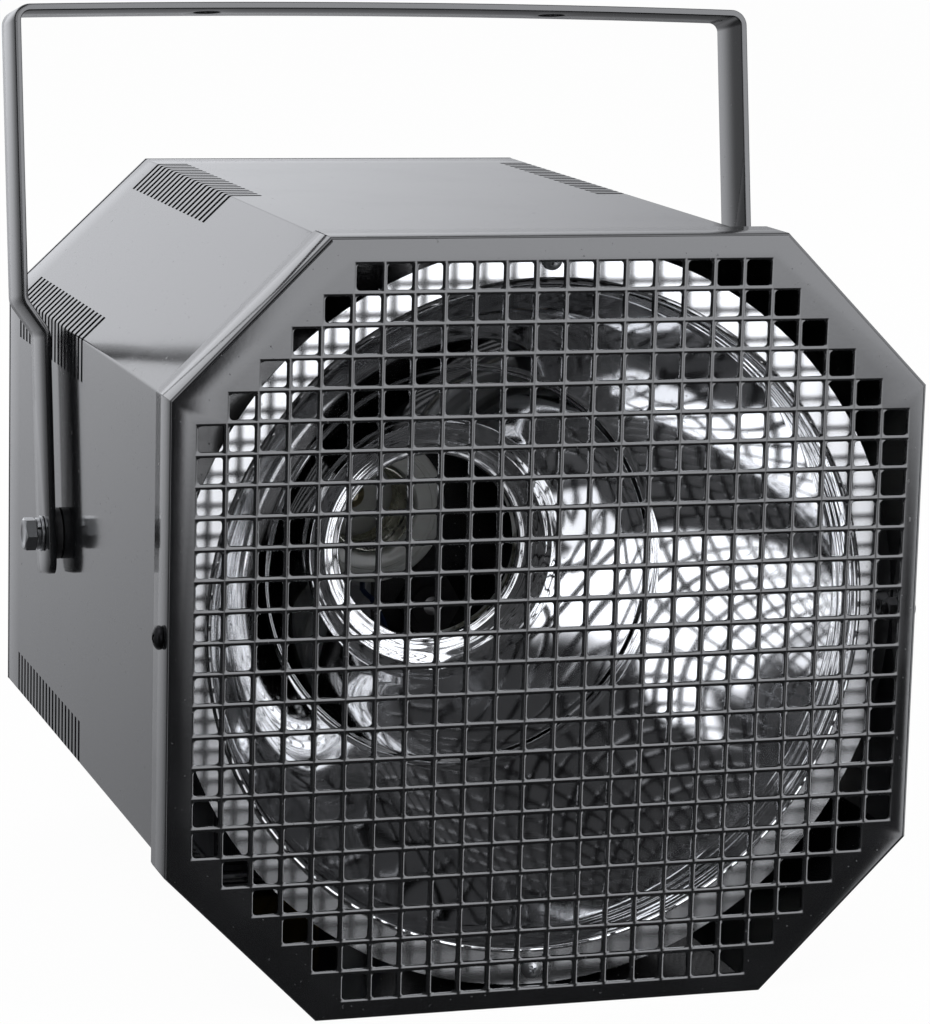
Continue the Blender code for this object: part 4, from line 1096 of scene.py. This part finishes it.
@dataclass
class Reflector:
    """The spun reflector and its two screws."""

    rim: float = 147.4
    rim_depth: float = 15.0
    mouth: float = 132.0
    focus_scale: float = 98.8
    vertex: float = 192.4
    ridge_depth: float = 118.0
    ridge_rise: float = 0.45
    ridge_width: float = 6.0
    groove_depth: float = 0.10
    groove_turn: float = 2.1     # radians to the millimetre
    groove_run: float = 7.0
    wave_start: float = 18.0
    outer_wave: tuple[float, float] = (1.02, -0.05)
    inner_wave: tuple[float, float] = (0.19, 0.32)
    neck: float = 56.9
    neck_depth: float = 167.1
    neck_round: float = 21.7
    neck_steps: int = 32
    ripple: float = 0.07
    ripples: float = 4.5
    hole: float = 39.5
    collar: float = 6.0
    sheet: float = 0.9
    steps: int = 160
    screw_radius: float = 141.0
    screw_sunk: float = 0.3
    screw_turn: float = 25.0
    screw: Screw = field(default_factory=Screw)

    def bowl(self, depth: float) -> float:
        """Find the inside radius: a parabola with a slow wave before and after the ridge.

        Args:
            depth: where.

        Returns:
            The radius.
        """
        start, end, wave = self.wave_start, self.ridge_depth, self.outer_wave
        if depth > self.ridge_depth:
            start, end, wave = self.ridge_depth, self.neck_depth, self.inner_wave
        share = (depth - start) / (end - start)
        radius = math.sqrt(self.focus_scale * (self.vertex - depth))
        return radius + wave[0] * math.sin(math.pi * share) + wave[1] * math.sin(math.tau * share)

    def profile(self) -> list[tuple[float, float]]:
        """Trace the front face: flat rim, rolled edge, bowl, rounded neck and collar.

        Returns:
            Its (radius, depth) points.
        """
        rim, mouth, hole = self.rim_depth, self.mouth, self.hole
        points = [(self.rim, rim + 0.1), (mouth + 6.0, rim), (mouth + 2.4, rim)]
        points += [(mouth + 1.0 + 1.2 * math.cos(a), rim + 0.2 - 1.4 * math.sin(a))
                   for a in map(math.radians, (20, 50, 80, 110, 140, 165))]
        points += [(mouth - 0.7, rim + 1.6), (mouth - 1.1, rim + 3.0)]
        depth = start = rim + 5.0
        while depth < self.vertex - self.neck ** 2 / self.focus_scale - 1.0:
            radius, spacing = self.bowl(depth), 2.2
            beyond = depth - self.ridge_depth
            if 0.0 < beyond < self.ridge_width:
                radius -= self.ridge_rise * math.sin(math.pi * beyond / self.ridge_width)
            if -2.0 < beyond < self.ridge_width + 2.0:
                spacing = 0.8
            if depth < start + self.groove_run:
                radius += self.groove_depth * math.cos(self.groove_turn * (depth - start))
                spacing = 0.5
            points.append((radius, depth))
            depth += spacing
        turn = math.asin((self.neck - hole - 1.0) / self.neck_round)
        for i in range(self.neck_steps + 1):
            share = i / self.neck_steps
            angle = turn * (1 - share)
            fade = min(1.0, 3.0 * (1 - abs(2 * share - 1)))
            ripple = self.ripple * math.cos(math.tau * self.ripples * share) * fade
            points.append((hole + 1.0 + self.neck_round * math.sin(angle),
                           self.neck_depth - self.neck_round * (1 - math.cos(angle)) + ripple))
        for inset, further in ((0.5, 0.2), (0.1, 0.8), (0.0, 1.6), (0.0, self.collar + 1.0)):
            points.append((hole + inset, self.neck_depth + further))
        return points

    def build(self) -> None:
        """Spin the sheet and set the screws in its rim."""
        front = self.profile()
        back = []
        for before, (radius, depth), after in zip(front[:1] + front, front, front[1:] + front[-1:]):
            along = Vector((after[0] - before[0], after[1] - before[1])).normalized()
            back.append((radius + along.y * self.sheet, depth - along.x * self.sheet))
        skin = Skin().turned(front + back[::-1], self.steps)
        add_piece("reflector_bowl", skin.mesh("reflector_bowl", 30), MIRROR, Body.HOUSING,
                  Slot.MIRROR, ["reflector"])
        for side, name in ((1, "top"), (-1, "bottom")):
            seat = self.rim_depth - self.screw_sunk
            place = facing(0.0, seat, side * self.screw_radius, (0, -1, 0))
            place = place @ Matrix.Rotation(math.radians(self.screw_turn * side), 4, "Z")
            add_piece(f"rim_screw_{name}", self.screw.mesh("rim_screw", place), ZINC,
                      Body.HOUSING, Slot.ZINC, [f"reflector_screw_{name}"])


@dataclass
class Lampholder:
    """The porcelain body and its screw shell."""

    mouth: float = 255.0
    radius: float = 34.0
    skirt: float = 51.0
    back_radius: float = 25.0
    length: float = 63.0
    bore: float = 20.8
    bore_depth: float = 40.0
    face_groove: tuple[float, float, float] = (6.5, 3.9, 1.2)
    body_groove: tuple[float, float, float] = (20.0, 25.0, 0.7)
    rounding: float = 2.4
    thread_start: float = 1.8
    thread_length: float = 34.0
    thread_pitch: float = 6.35
    thread_middle: float = 19.0
    thread_height: float = 1.25
    thread_sheet: float = 0.4
    thread_rows: int = 84
    steps: int = 72

    def build(self) -> None:
        """Make the body, its depths measured from the mouth, and the thread."""
        r, bore, back, turn = self.radius, self.bore, self.back_radius, self.rounding
        skirt, end = self.skirt, self.length
        start, stop, deep = self.face_groove
        mouth = [(bore, self.bore_depth), (bore, 1.8), (bore + 0.5, 0.6), (bore + 1.6, 0.0),
                 (r - start, 0.0), (r - start + 0.5, deep), (r - stop - 0.5, deep), (r - stop, 0.0)]
        rounding = [(r - turn + turn * math.sin(a), turn - turn * math.cos(a))
                    for a in map(math.radians, (0, 22, 45, 68, 90))]
        start, stop, deep = self.body_groove
        groove = [(r, start), (r - deep, start + 1.0), (r - deep, stop - 1.0), (r, stop)]
        rear = [(r, skirt - 1.5), (r - 1.5, skirt), (back + 1.0, skirt + 2.0), (back, skirt + 3.5),
                (back, end - 1.0), (back - 1.0, end), (0.0, end), (0.0, self.bore_depth)]
        profile = [(x, self.mouth + depth) for x, depth in mouth + rounding + groove + rear]
        skin = Skin().turned(profile, self.steps)
        add_piece("holder_porcelain", skin.mesh("holder_porcelain", 30), PORCELAIN, Body.HOUSING,
                  Slot.PORCELAIN, ["lampholder_body"])
        faces = [[self.thread_row(i / self.thread_rows, sheet) for i in range(self.thread_rows + 1)]
                 for sheet in (0.0, self.thread_sheet)]
        thread = Skin().sheet(*faces)
        add_piece("holder_thread", thread.mesh("holder_thread", 50), NICKEL, Body.HOUSING,
                  Slot.BRASS, ["lampholder_shell"])

    def thread_row(self, share: float, sheet: float) -> list[Point]:
        """Trace one turn of the thread's wall.

        Args:
            share: how far in it lies, from 0 to 1.
            sheet: how far outside the wall's inner face it lies.

        Returns:
            Its points.
        """
        depth = self.mouth + self.thread_start + share * self.thread_length
        fade = min(1.0, 8.0 * share, 8.0 * (1.0 - share))
        phase = math.tau * share * self.thread_length / self.thread_pitch
        points = []
        for turn in around(self.steps):
            wave = self.thread_height * math.cos(phase - turn) * fade
            radius = self.thread_middle + sheet + wave
            points.append((radius * math.sin(turn), depth, radius * math.cos(turn)))
        return points


@dataclass
class Yoke:
    """The bent bar, in its own frame: across, fore and aft, and up from the pivot."""

    bar: float = 30.0
    thick: float = 3.0
    foot: float = 154.7
    side: float = 164.0
    top: float = 222.8
    crown: float = 2.0
    end: float = 17.0
    end_radius: float = 6.0
    corner: float = 5.5
    joggle: tuple[float, float] = (85.6, 99.2)
    joggle_radius: float = 7.0
    edge: float = 0.55
    hole: float = 6.0
    hole_spacing: float = 157.0
    pivot: tuple[float, float] = (222.0, 0.0)
    pivot_hole: float = 4.4
    lean: float = 9.5

    def path(self) -> list[Vector]:
        """Trace the bar's middle line from the right arm's end to the left one's.

        Returns:
            Its points.
        """
        right = [Vector((self.foot, -self.end)), Vector((self.foot, self.joggle[0])),
                 Vector((self.side, self.joggle[1])), Vector((self.side, self.top))]
        crown = []
        for i in range(1, 20):
            x = self.side * (1 - i / 10)
            crown.append(Vector((x, self.top + self.crown * (1 - (x / self.side) ** 2))))
        left = [Vector((-point.x, point.y)) for point in reversed(right)]
        radii = [0.0, self.joggle_radius, self.joggle_radius, self.corner]
        return self.filleted(right + crown + left, radii + [0.0] * len(crown) + radii[::-1])

    @staticmethod
    def filleted(points: Sequence[Vector], radii: Sequence[float]) -> list[Vector]:
        """Round the corners of a line.

        Args:
            points: its points.
            radii: the radius at each, 0 for none.

        Returns:
            The rounded line.
        """
        line = [points[0]]
        for before, point, after, radius in zip(points, points[1:], points[2:], radii[1:]):
            if radius == 0.0:
                line.append(point)
                continue
            into, out = (point - before).normalized(), (after - point).normalized()
            half = into.angle(out) / 2
            centre = point + (out - into).normalized() * radius / math.cos(half)
            spoke = point - into * (radius * math.tan(half)) - centre
            sign = 1.0 if into.x * out.y - into.y * out.x > 0 else -1.0
            count = max(3, round(math.degrees(2 * half) / 9))
            line += [centre + Matrix.Rotation(sign * 2 * half * i / count, 2) @ spoke
                     for i in range(count + 1)]
        return line + [points[-1]]

    def section(self, half_bar: float) -> list[tuple[float, float]]:
        """Trace the bar's section with rounded edges.

        Args:
            half_bar: half its width.

        Returns:
            Its points as (across its thickness, along its width).
        """
        half, edge = self.thick / 2, self.edge
        points = []
        for turn, (a, b) in zip((0, 90, 180, 270), ((1, 1), (-1, 1), (-1, -1), (1, -1))):
            centre = (a * (half - edge), b * (half_bar - edge))
            points += arc(centre, edge, turn, turn + 90, 3)
        return points

    def rounded_end(self, tip: Vector, normal: Vector,
                    inwards: Vector) -> list[tuple[Vector, Vector, float]]:
        """Shape one end of the bar.

        Args:
            tip: where the middle line ends.
            normal: the bar's thickness direction there.
            inwards: the way back along the bar.

        Returns:
            Stations from the tip, each a point, a normal and half the bar's width.
        """
        radius = self.end_radius
        return [(tip + inwards * radius * (1 - math.cos(a)), normal,
                 self.bar / 2 - radius * (1 - math.sin(a)))
                for a in map(math.radians, range(0, 91, 15))]

    def build(self) -> None:
        """Sweep the bar, drill it and stand it at its lean."""
        line = self.path()
        stations = []
        for before, point, after in zip(line[:1] + line, line, line[1:] + line[-1:]):
            along = (after - before).normalized()
            stations.append((point, Vector((-along.y, along.x)), self.bar / 2))
        start = self.rounded_end(*stations[0][:2], (line[1] - line[0]).normalized())
        end = self.rounded_end(*stations[-1][:2], (line[-2] - line[-1]).normalized())
        bar = Skin().loft([[(point.x + normal.x * u, v, point.y + normal.y * u)
                            for u, v in self.section(half)]
                           for point, normal, half in start + stations[1:-1] + end[::-1]])
        stand_at = Matrix.Translation((0.0, *self.pivot))
        stand_at = stand_at @ Matrix.Rotation(math.radians(-self.lean), 4, "X")
        drills = []
        clear = 2 * CLEAR
        for x in (-self.hole_spacing / 2, self.hole_spacing / 2):
            circle = arc((x, 0.0), self.hole, 0, 350, 35)
            drills.append(Skin().loft([[(*point, z) for point in circle]
                                       for z in (self.top - clear, self.top + clear)]))
        drills.append(Skin().across(arc((0, 0), self.pivot_hole, 0, 345, 23), self.side + clear))
        mesh = cut(bar.mesh("yoke_bar", matrix=stand_at),
                   [drill.mesh("drill", matrix=stand_at) for drill in drills], 38)
        add_piece("yoke_bar", mesh, PAINT, Body.YOKE, Slot.BLACK_PAINT, ["yoke"])


@dataclass
class PivotStack:
    """Bolt, washers and spacer at one end of the pivot; they point along local Z."""

    side: int
    seat: float = 149.0
    pivot: tuple[float, float] = (222.0, 0.0)
    spacer: tuple[float, float, float] = (11.0, 4.4, 3.6)
    arm: float = 3.0
    gap: float = 0.3
    washer: tuple[float, float, float] = (7.6, 4.15, 1.0)
    spring: tuple[float, float, float] = (6.8, 4.2, 1.6)
    spring_climb: float = 0.24
    flats: float = 13.0
    head: float = 5.0
    shank: float = 4.0
    length: float = 25.0
    steps: int = 64

    def build(self) -> None:
        """Make the stack outwards from the housing."""
        z = self.gap
        self.add("spacer", "pivot_spacer", self.ring(self.spacer, z), NYLON, Slot.NYLON)
        z += self.spacer[2] + self.gap + self.arm + self.gap
        self.add("washer", "flat_washer", self.ring(self.washer, z), ZINC, Slot.ZINC)
        z += self.washer[2] + self.gap
        self.add("spring", "spring_washer", self.split_ring(z), ZINC, Slot.ZINC)
        z += self.spring[2] + self.gap
        self.add("bolt", "pivot_bolt", self.bolt(z), ZINC, Slot.ZINC)

    def add(self, kind: str, node: str, skin: Skin, finish: Finish, slot: Slot) -> None:
        """Add one piece of the stack.

        Args:
            kind: what it is called, before its side.
            node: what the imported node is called, before its side.
            skin: its shape.
            finish: its surface.
            slot: the record's slot for its finish.
        """
        side = "left" if self.side < 0 else "right"
        name = f"{kind}_{side}"
        place = facing(self.side * self.seat, *self.pivot, (self.side, 0, 0))
        add_piece(name, skin.mesh(name, 30, place), finish, Body.HOUSING, slot, [f"{node}_{side}"])

    def ring(self, size: tuple[float, float, float], z: float) -> Skin:
        """Make a flat ring with broken edges.

        Args:
            size: its outer radius, inner radius and height.
            z: where it starts.

        Returns:
            The ring.
        """
        (outer, inner, height), broken = size, 0.15
        top = z + height
        profile = [(inner, z), (outer - broken, z), (outer, z + broken), (outer, top - broken),
                   (outer - broken, top), (inner + broken, top), (inner, top - broken)]
        return Skin().spun(profile, self.steps)

    def split_ring(self, z: float) -> Skin:
        """Make the spring washer: nearly a full turn that climbs a little.

        Args:
            z: where it starts.

        Returns:
            The spring washer.
        """
        outer, inner, height = self.spring
        fine, coarse = 0.1, 0.25
        rings = []
        for share in (i / 56 for i in range(57)):
            turn = math.radians(35 + 350 * share)
            low = z + self.spring_climb * (share - 0.5)
            high = low + height
            profile = [(inner, low + fine), (inner + fine, low), (outer - coarse, low),
                       (outer, low + coarse), (outer, high - coarse), (outer - coarse, high),
                       (inner + fine, high), (inner, high - fine)]
            rings.append([(r * math.cos(turn), r * math.sin(turn), h) for r, h in profile])
        return Skin().loft(rings)

    def bolt(self, z: float) -> Skin:
        """Make the hexagon bolt, its head chamfered and its flats level.

        Args:
            z: where its head starts.

        Returns:
            The bolt.
        """
        turns = around(48)
        tip, top, apothem = z - self.length, z + self.head, self.flats / 2
        flat = apothem * 0.94
        sides = [hexagon(self.flats, turn) for turn in turns]
        levels = [(0.01, tip), (self.shank - 0.8, tip), (self.shank, tip + 0.8), (self.shank, z),
                  (apothem * 0.97, z), (sides, z + 0.15),
                  (sides, [top - 0.15 - (side - flat) * 0.55 for side in sides]), (flat, top),
                  (apothem * 0.62, top), (apothem * 0.58, top - 0.12), (0.01, top - 0.12)]
        rings = []
        for level in levels:
            radii, heights = (given if isinstance(given, list) else [given] * len(turns)
                              for given in level)
            rings.append([(radius * math.cos(turn), radius * math.sin(turn), height)
                          for radius, turn, height in zip(radii, turns, heights)])
        return Skin().loft(rings)


@dataclass
class RearFittings:
    """The screws of the rear cover and the cable gland."""

    seat: float = 339.5
    inset: float = 7.6
    half_width: float = 149.0
    tray_spacing: float = 110.0
    screw: Screw = field(default_factory=Screw)
    gland: tuple[float, float] = (52.0, -62.0)
    flats: float = 24.0
    hex_depth: float = 6.0
    dome: float = 17.0
    flutes: int = 12
    flute_depth: float = 0.035
    thread: float = 10.0
    thread_depth: float = 0.35
    thread_rows: int = 24
    thread_end: float = 330.4
    bore: float = 4.5
    steps: int = 96

    def build(self) -> None:
        """Make the five screws and the gland."""
        edge, tray = self.half_width - self.inset, self.tray_spacing / 2
        places = {"cover_screw_top": (0.0, edge), "cover_screw_left": (-edge, 0.0),
                  "cover_screw_right": (edge, 0.0), "tray_screw_left": (-tray, -edge),
                  "tray_screw_right": (tray, -edge)}
        for i, (node, (x, height)) in enumerate(places.items()):
            place = facing(x, self.seat, height, (0, 1, 0)) @ Matrix.Rotation(0.9 * i, 4, "Z")
            add_piece(f"rear_{node}", self.screw.mesh("rear_screw", place), BLACK_STEEL,
                      Body.HOUSING, Slot.BLACK_STEEL, [node])
        self.build_gland()

    def build_gland(self) -> None:
        """Make the hexagon, fluted dome nut, thread and bore in one piece."""
        turns = around(self.steps)
        sides = [hexagon(self.flats, turn) for turn in turns]
        ribs = [1.0 - self.flute_depth * max(0.0, math.cos(self.flutes * turn)) ** 2
                for turn in turns]
        apothem, seat, inner = self.flats / 2, self.seat, self.thread_end
        nut, dome = seat + self.hex_depth, apothem * 0.94
        top = nut + self.dome
        levels = [(self.bore, inner)]
        for i in range(self.thread_rows + 1):
            radius = self.thread - (self.thread_depth if i % 2 else 0.0)
            levels.append((radius, inner + (seat - inner) * i / self.thread_rows))
        levels += [([side - 0.6 for side in sides], seat), (sides, seat + 0.6), (sides, nut - 0.8),
                   ([min(side, apothem * 1.04) for side in sides], nut),
                   (apothem * 0.90, nut + 0.1), (apothem * 0.90, nut + 1.0)]
        levels += [([dome * size * rib for rib in ribs], nut + share * self.dome)
                   for share, size in ((0.08, 1.0), (0.6, 1.0), (0.72, 0.97))]
        levels += [(dome * size, nut + share * self.dome)
                   for share, size in ((0.84, 0.88), (0.93, 0.74), (0.98, 0.62))]
        levels += [(dome * 0.55, top), (self.bore + 0.8, top), (self.bore, top - 0.8)]
        x, height = self.gland
        rings = []
        for given, depth in levels:
            radii = given if isinstance(given, list) else [given] * self.steps
            rings.append([(x + radius * math.sin(turn), depth, height + radius * math.cos(turn))
                          for radius, turn in zip(radii, turns)])
        mesh = Skin().loft(rings, looped=True).mesh("gland_body", 28)
        add_piece("gland_body", mesh, NYLON, Body.HOUSING, Slot.NYLON, ["cable_gland"])


class Carried:
    """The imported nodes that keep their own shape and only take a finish."""

    finishes: dict[str, Finish] = {
        "rear_cover": PAINT, "frame_nut": ZINC, "reflector_tab": GALVANISED,
        "lampholder_contact": BRASS, "lampholder_bracket": GALVANISED, "holder_screw": ZINC,
        "bracket_screw": ZINC, "gear_tray": GALVANISED, "ballast_core": CORE,
        "ballast_coil": WINDING, "ballast_screw": ZINC, "capacitor_clip": WHITE_PLASTIC,
        "capacitor": CAN, "terminal_block": WHITE_PLASTIC, "earth_screw": BRASS,
        "gland_locknut": NYLON, "lead_neutral": BLUE_LEAD, "lead_": BROWN_LEAD,
        "pivot_plate": GALVANISED, "pivot_nut": ZINC,
    }

    @classmethod
    def dress(cls, nodes: Iterable[bpy.types.Object]) -> None:
        """Give each node that still shows the finish of the longest name it starts with.

        Args:
            nodes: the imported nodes.
        """
        for node in nodes:
            if node.hide_render:
                continue
            matches = [name for name in cls.finishes if node.name.startswith(name)]
            if not matches:
                LOG.warning("no finish for %s", node.name)
                continue
            dress(node, cls.finishes[max(matches, key=len)])
            LOG.info("%s: finished", node.name)


# Studio


@dataclass(frozen=True)
class Light:
    """A bright field of the room, seen by the gloss only.

    An edge is (where it is dark, where it is full) in degrees: of bearing at the left and right,
    of height at the bottom and top. The bottom edge rises by slant degrees to each degree of
    bearing, and the left edge moves right by lean degrees to each degree above lean_height.
    """

    strength: float
    left: Edge | None = None
    right: Edge | None = None
    bottom: Edge | None = None
    top: Edge | None = None
    slant: float = 0.0
    fade: float = 1.0
    lean: float = 0.0
    lean_height: float = 22.0

    def shine(self, bearing: Value, height: Value) -> Value:
        """Add the nodes of the light.

        Args:
            bearing: a ray's bearing from the front, in degrees.
            height: its height above the horizon, in degrees.

        Returns:
            How bright the light is in the ray's direction.
        """
        light: Value | float = self.strength
        if self.left and self.lean:
            over = (height - self.lean_height).most(0.0)
            light = (bearing - over * self.lean).step(*self.left) * light
        elif self.left:
            light = bearing.step(*self.left) * light
        if self.right:
            light = bearing.step(*self.right) * light
        if self.bottom:
            level = height - bearing * self.slant if self.slant else height
            foot = level.step(*self.bottom)
            light = (foot if self.fade == 1.0 else foot ** self.fade) * light
        if self.top:
            light = height.step(*self.top) * light
        return light


CARD = Light(1.88, (6.5, 10.5), (49.0, 45.5), (-20.0, -8.0), (55.0, 48.0), 0.15, 1.7, 0.22)
LOW_CARD = Light(1.75, (30.0, 32.0), (43.5, 41.0), (-27.5, -24.0), (12.0, 8.0))
NEAR_WALL = Light(1.20, left=(46.0, 50.0), bottom=(12.0, 17.0))
FAR_WALL = Light(1.20, left=(58.0, 64.0), bottom=(8.0, 18.0), slant=-0.4)
PATCH = Light(1.20, (-9.0, -6.0), (13.0, 10.0), (11.5, 13.0), (24.5, 23.0))
STRIP = Light(0.95, (-93.0, -91.5), (-80.0, -81.5), (-32.0, -20.0))
CEILING_EDGE = Light(1.10, right=(-4.0, -9.0), bottom=(61.0, 64.5), slant=0.37)
CEILING = Light(1.10, bottom=(62.0, 70.0))


@dataclass
class Studio:
    """Camera, pale floor, soft lamps and the white room that the gloss reflects."""

    lens: float = 136.78
    eye: tuple[float, float, float] = (-0.4733, -1.57165, 0.4677)
    right: tuple[float, float, float] = (0.95521, -0.29482, 0.02576)
    down: tuple[float, float, float] = (-0.02935, -0.18098, -0.98305)
    ahead: tuple[float, float, float] = (0.29448, 0.93826, -0.18152)
    floor_height: float = -0.0002
    floor_size: float = 9.0
    floor_tone: float = 0.90
    floor_white: float = 0.97
    ambient: float = 0.55
    dark: float = 0.038
    haze: float = 0.022
    tint: Colour = (0.97, 0.985, 1.03)
    lights: tuple[Light, ...] = (CARD, LOW_CARD, NEAR_WALL, FAR_WALL, PATCH, STRIP, CEILING_EDGE,
                                 CEILING)
    aim: Point = (0.0, 0.0, 0.12)

    def build(self) -> None:
        """Set the whole studio up."""
        self.place_camera()
        self.lay_floor()
        self.hang_lamps()
        self.paint_room()
        bpy.context.scene.view_settings.view_transform = "Standard"

    def place_camera(self) -> None:
        """Stand the camera where the photograph was taken from."""
        data = bpy.data.cameras.new("camera")
        data.lens = self.lens
        data.sensor_width = 36.0
        data.clip_start, data.clip_end = 0.05, 60.0
        camera = stand("camera", data)
        axes = [Vector(self.right), -Vector(self.down), -Vector(self.ahead), Vector(self.eye)]
        rows = [[axis[i] for axis in axes] for i in range(3)]
        camera.matrix_world = Matrix(rows + [[0, 0, 0, 1]])
        bpy.context.scene.camera = camera

    def lay_floor(self) -> None:
        """Lay a pale floor that keeps a soft shadow and is white to the camera."""
        mesh = bpy.data.meshes.new("floor")
        work = bmesh.new()
        bmesh.ops.create_grid(work, x_segments=8, y_segments=8, size=self.floor_size)
        work.to_mesh(mesh)
        work.free()
        floor = stand("floor", mesh)
        floor.location = (0.0, 0.0, self.floor_height)
        floor.visible_glossy = False
        material = bpy.data.materials.new("floor")
        material.use_nodes = True
        graph = Graph(material.node_tree)
        shader = graph.tree.nodes["Principled BSDF"]
        tone = self.floor_tone
        graph.feed(shader, {"Base Color": (tone, tone, tone, 1.0), "Roughness": 0.9,
                            "Specular IOR Level": 0.1})
        seen = graph.value("ShaderNodeLightPath", output="Is Camera Ray")
        glow = {"Color": (1, 1, 1, 1), "Strength": 1.0}
        white = graph.node("ShaderNodeEmission", None, glow)
        ends = {0: seen * self.floor_white, 1: shader.outputs[0], 2: white.outputs[0]}
        mixed = graph.node("ShaderNodeMixShader", None, ends)
        graph.feed(graph.tree.nodes["Material Output"], {"Surface": mixed.outputs[0]})
        mesh.materials.append(material)

    def hang_lamps(self) -> None:
        """Hang large soft lamps that light but don't show in the gloss."""
        for name, place, size, power in (("key", (-1.6, -1.7, 2.2), 1.6, 34.0),
                                         ("fill", (2.2, -1.6, 1.4), 1.8, 16.0),
                                         ("back", (0.4, 2.2, 2.4), 1.8, 22.0)):
            data = bpy.data.lights.new(name, "AREA")
            data.shape, data.size, data.energy = "DISK", size, power
            lamp = stand(name, data)
            lamp.location = place
            lamp.rotation_mode = "QUATERNION"
            lamp.rotation_quaternion = (Vector(self.aim) - Vector(place)).to_track_quat("-Z", "Y")
            lamp.visible_glossy = lamp.visible_camera = False

    def paint_room(self) -> None:
        """White to the camera; to the gloss a room with cards, a dark side and a bright rear."""
        world = bpy.data.worlds.new("room")
        world.use_nodes = True
        bpy.context.scene.world = world
        graph = Graph(world.node_tree)
        path = graph.node("ShaderNodeLightPath").outputs
        seen, glossy, through = (Value(graph, path[f"Is {kind} Ray"])
                                 for kind in ("Camera", "Glossy", "Transmission"))
        gloss = glossy.most(through)
        level = seen + (1 - seen) * (gloss * self.room(graph) + (1 - gloss) * self.ambient)
        tint = graph.mix(gloss * (1 - seen), (1.0, 1.0, 1.0), self.tint)
        graph.feed(graph.tree.nodes["Background"], {"Strength": level, "Color": tint})

    def room(self, graph: Graph) -> Value:
        """Paint the room by direction: bearing from the front, and height, in degrees.

        Args:
            graph: the world's nodes.

        Returns:
            How bright the room is in a ray's direction.
        """
        x, y, z = graph.split(graph.value("ShaderNodeTexCoord", output="Generated"))
        bearing = x.function("ARCTAN2", y * -1.0) * (180 / math.pi)
        height = z.function("ARCSINE") * (180 / math.pi)
        haze = height.step(8.0, 15.0).most(bearing.step(-22.0, -8.0) * height.step(-14.0, -4.0))
        front = haze * self.haze + self.dark
        for light in self.lights:
            front = front.most(light.shine(bearing, height))
        # the rear is brightest behind the object's middle and a little darker at its right
        middle = abs(bearing).step(152.0, 170.0) * 0.75 + 0.25
        rear = (height.step(-18.0, 6.0) * 1.06 + 0.37) * middle
        rear = rear * (1 - bearing.step(140.0, 165.0) * 0.26)
        behind = bearing.step(117.0, 121.0).most(bearing.step(-100.0, -108.0))
        return behind * rear + (1 - behind) * front


def main() -> None:
    """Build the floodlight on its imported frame, then the studio round it."""
    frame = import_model()
    for assembly in (FrontFrame(), Housing(), Reflector(), Lampholder(), Yoke(), PivotStack(-1),
                     PivotStack(1), RearFittings()):
        LOG.info("building %s", type(assembly).__name__)
        assembly.build()
    Carried.dress(frame["nodes"].values())
    Studio().build()


if __name__ == "__main__":
    logging.basicConfig(level=logging.INFO, format="%(message)s")
    main()
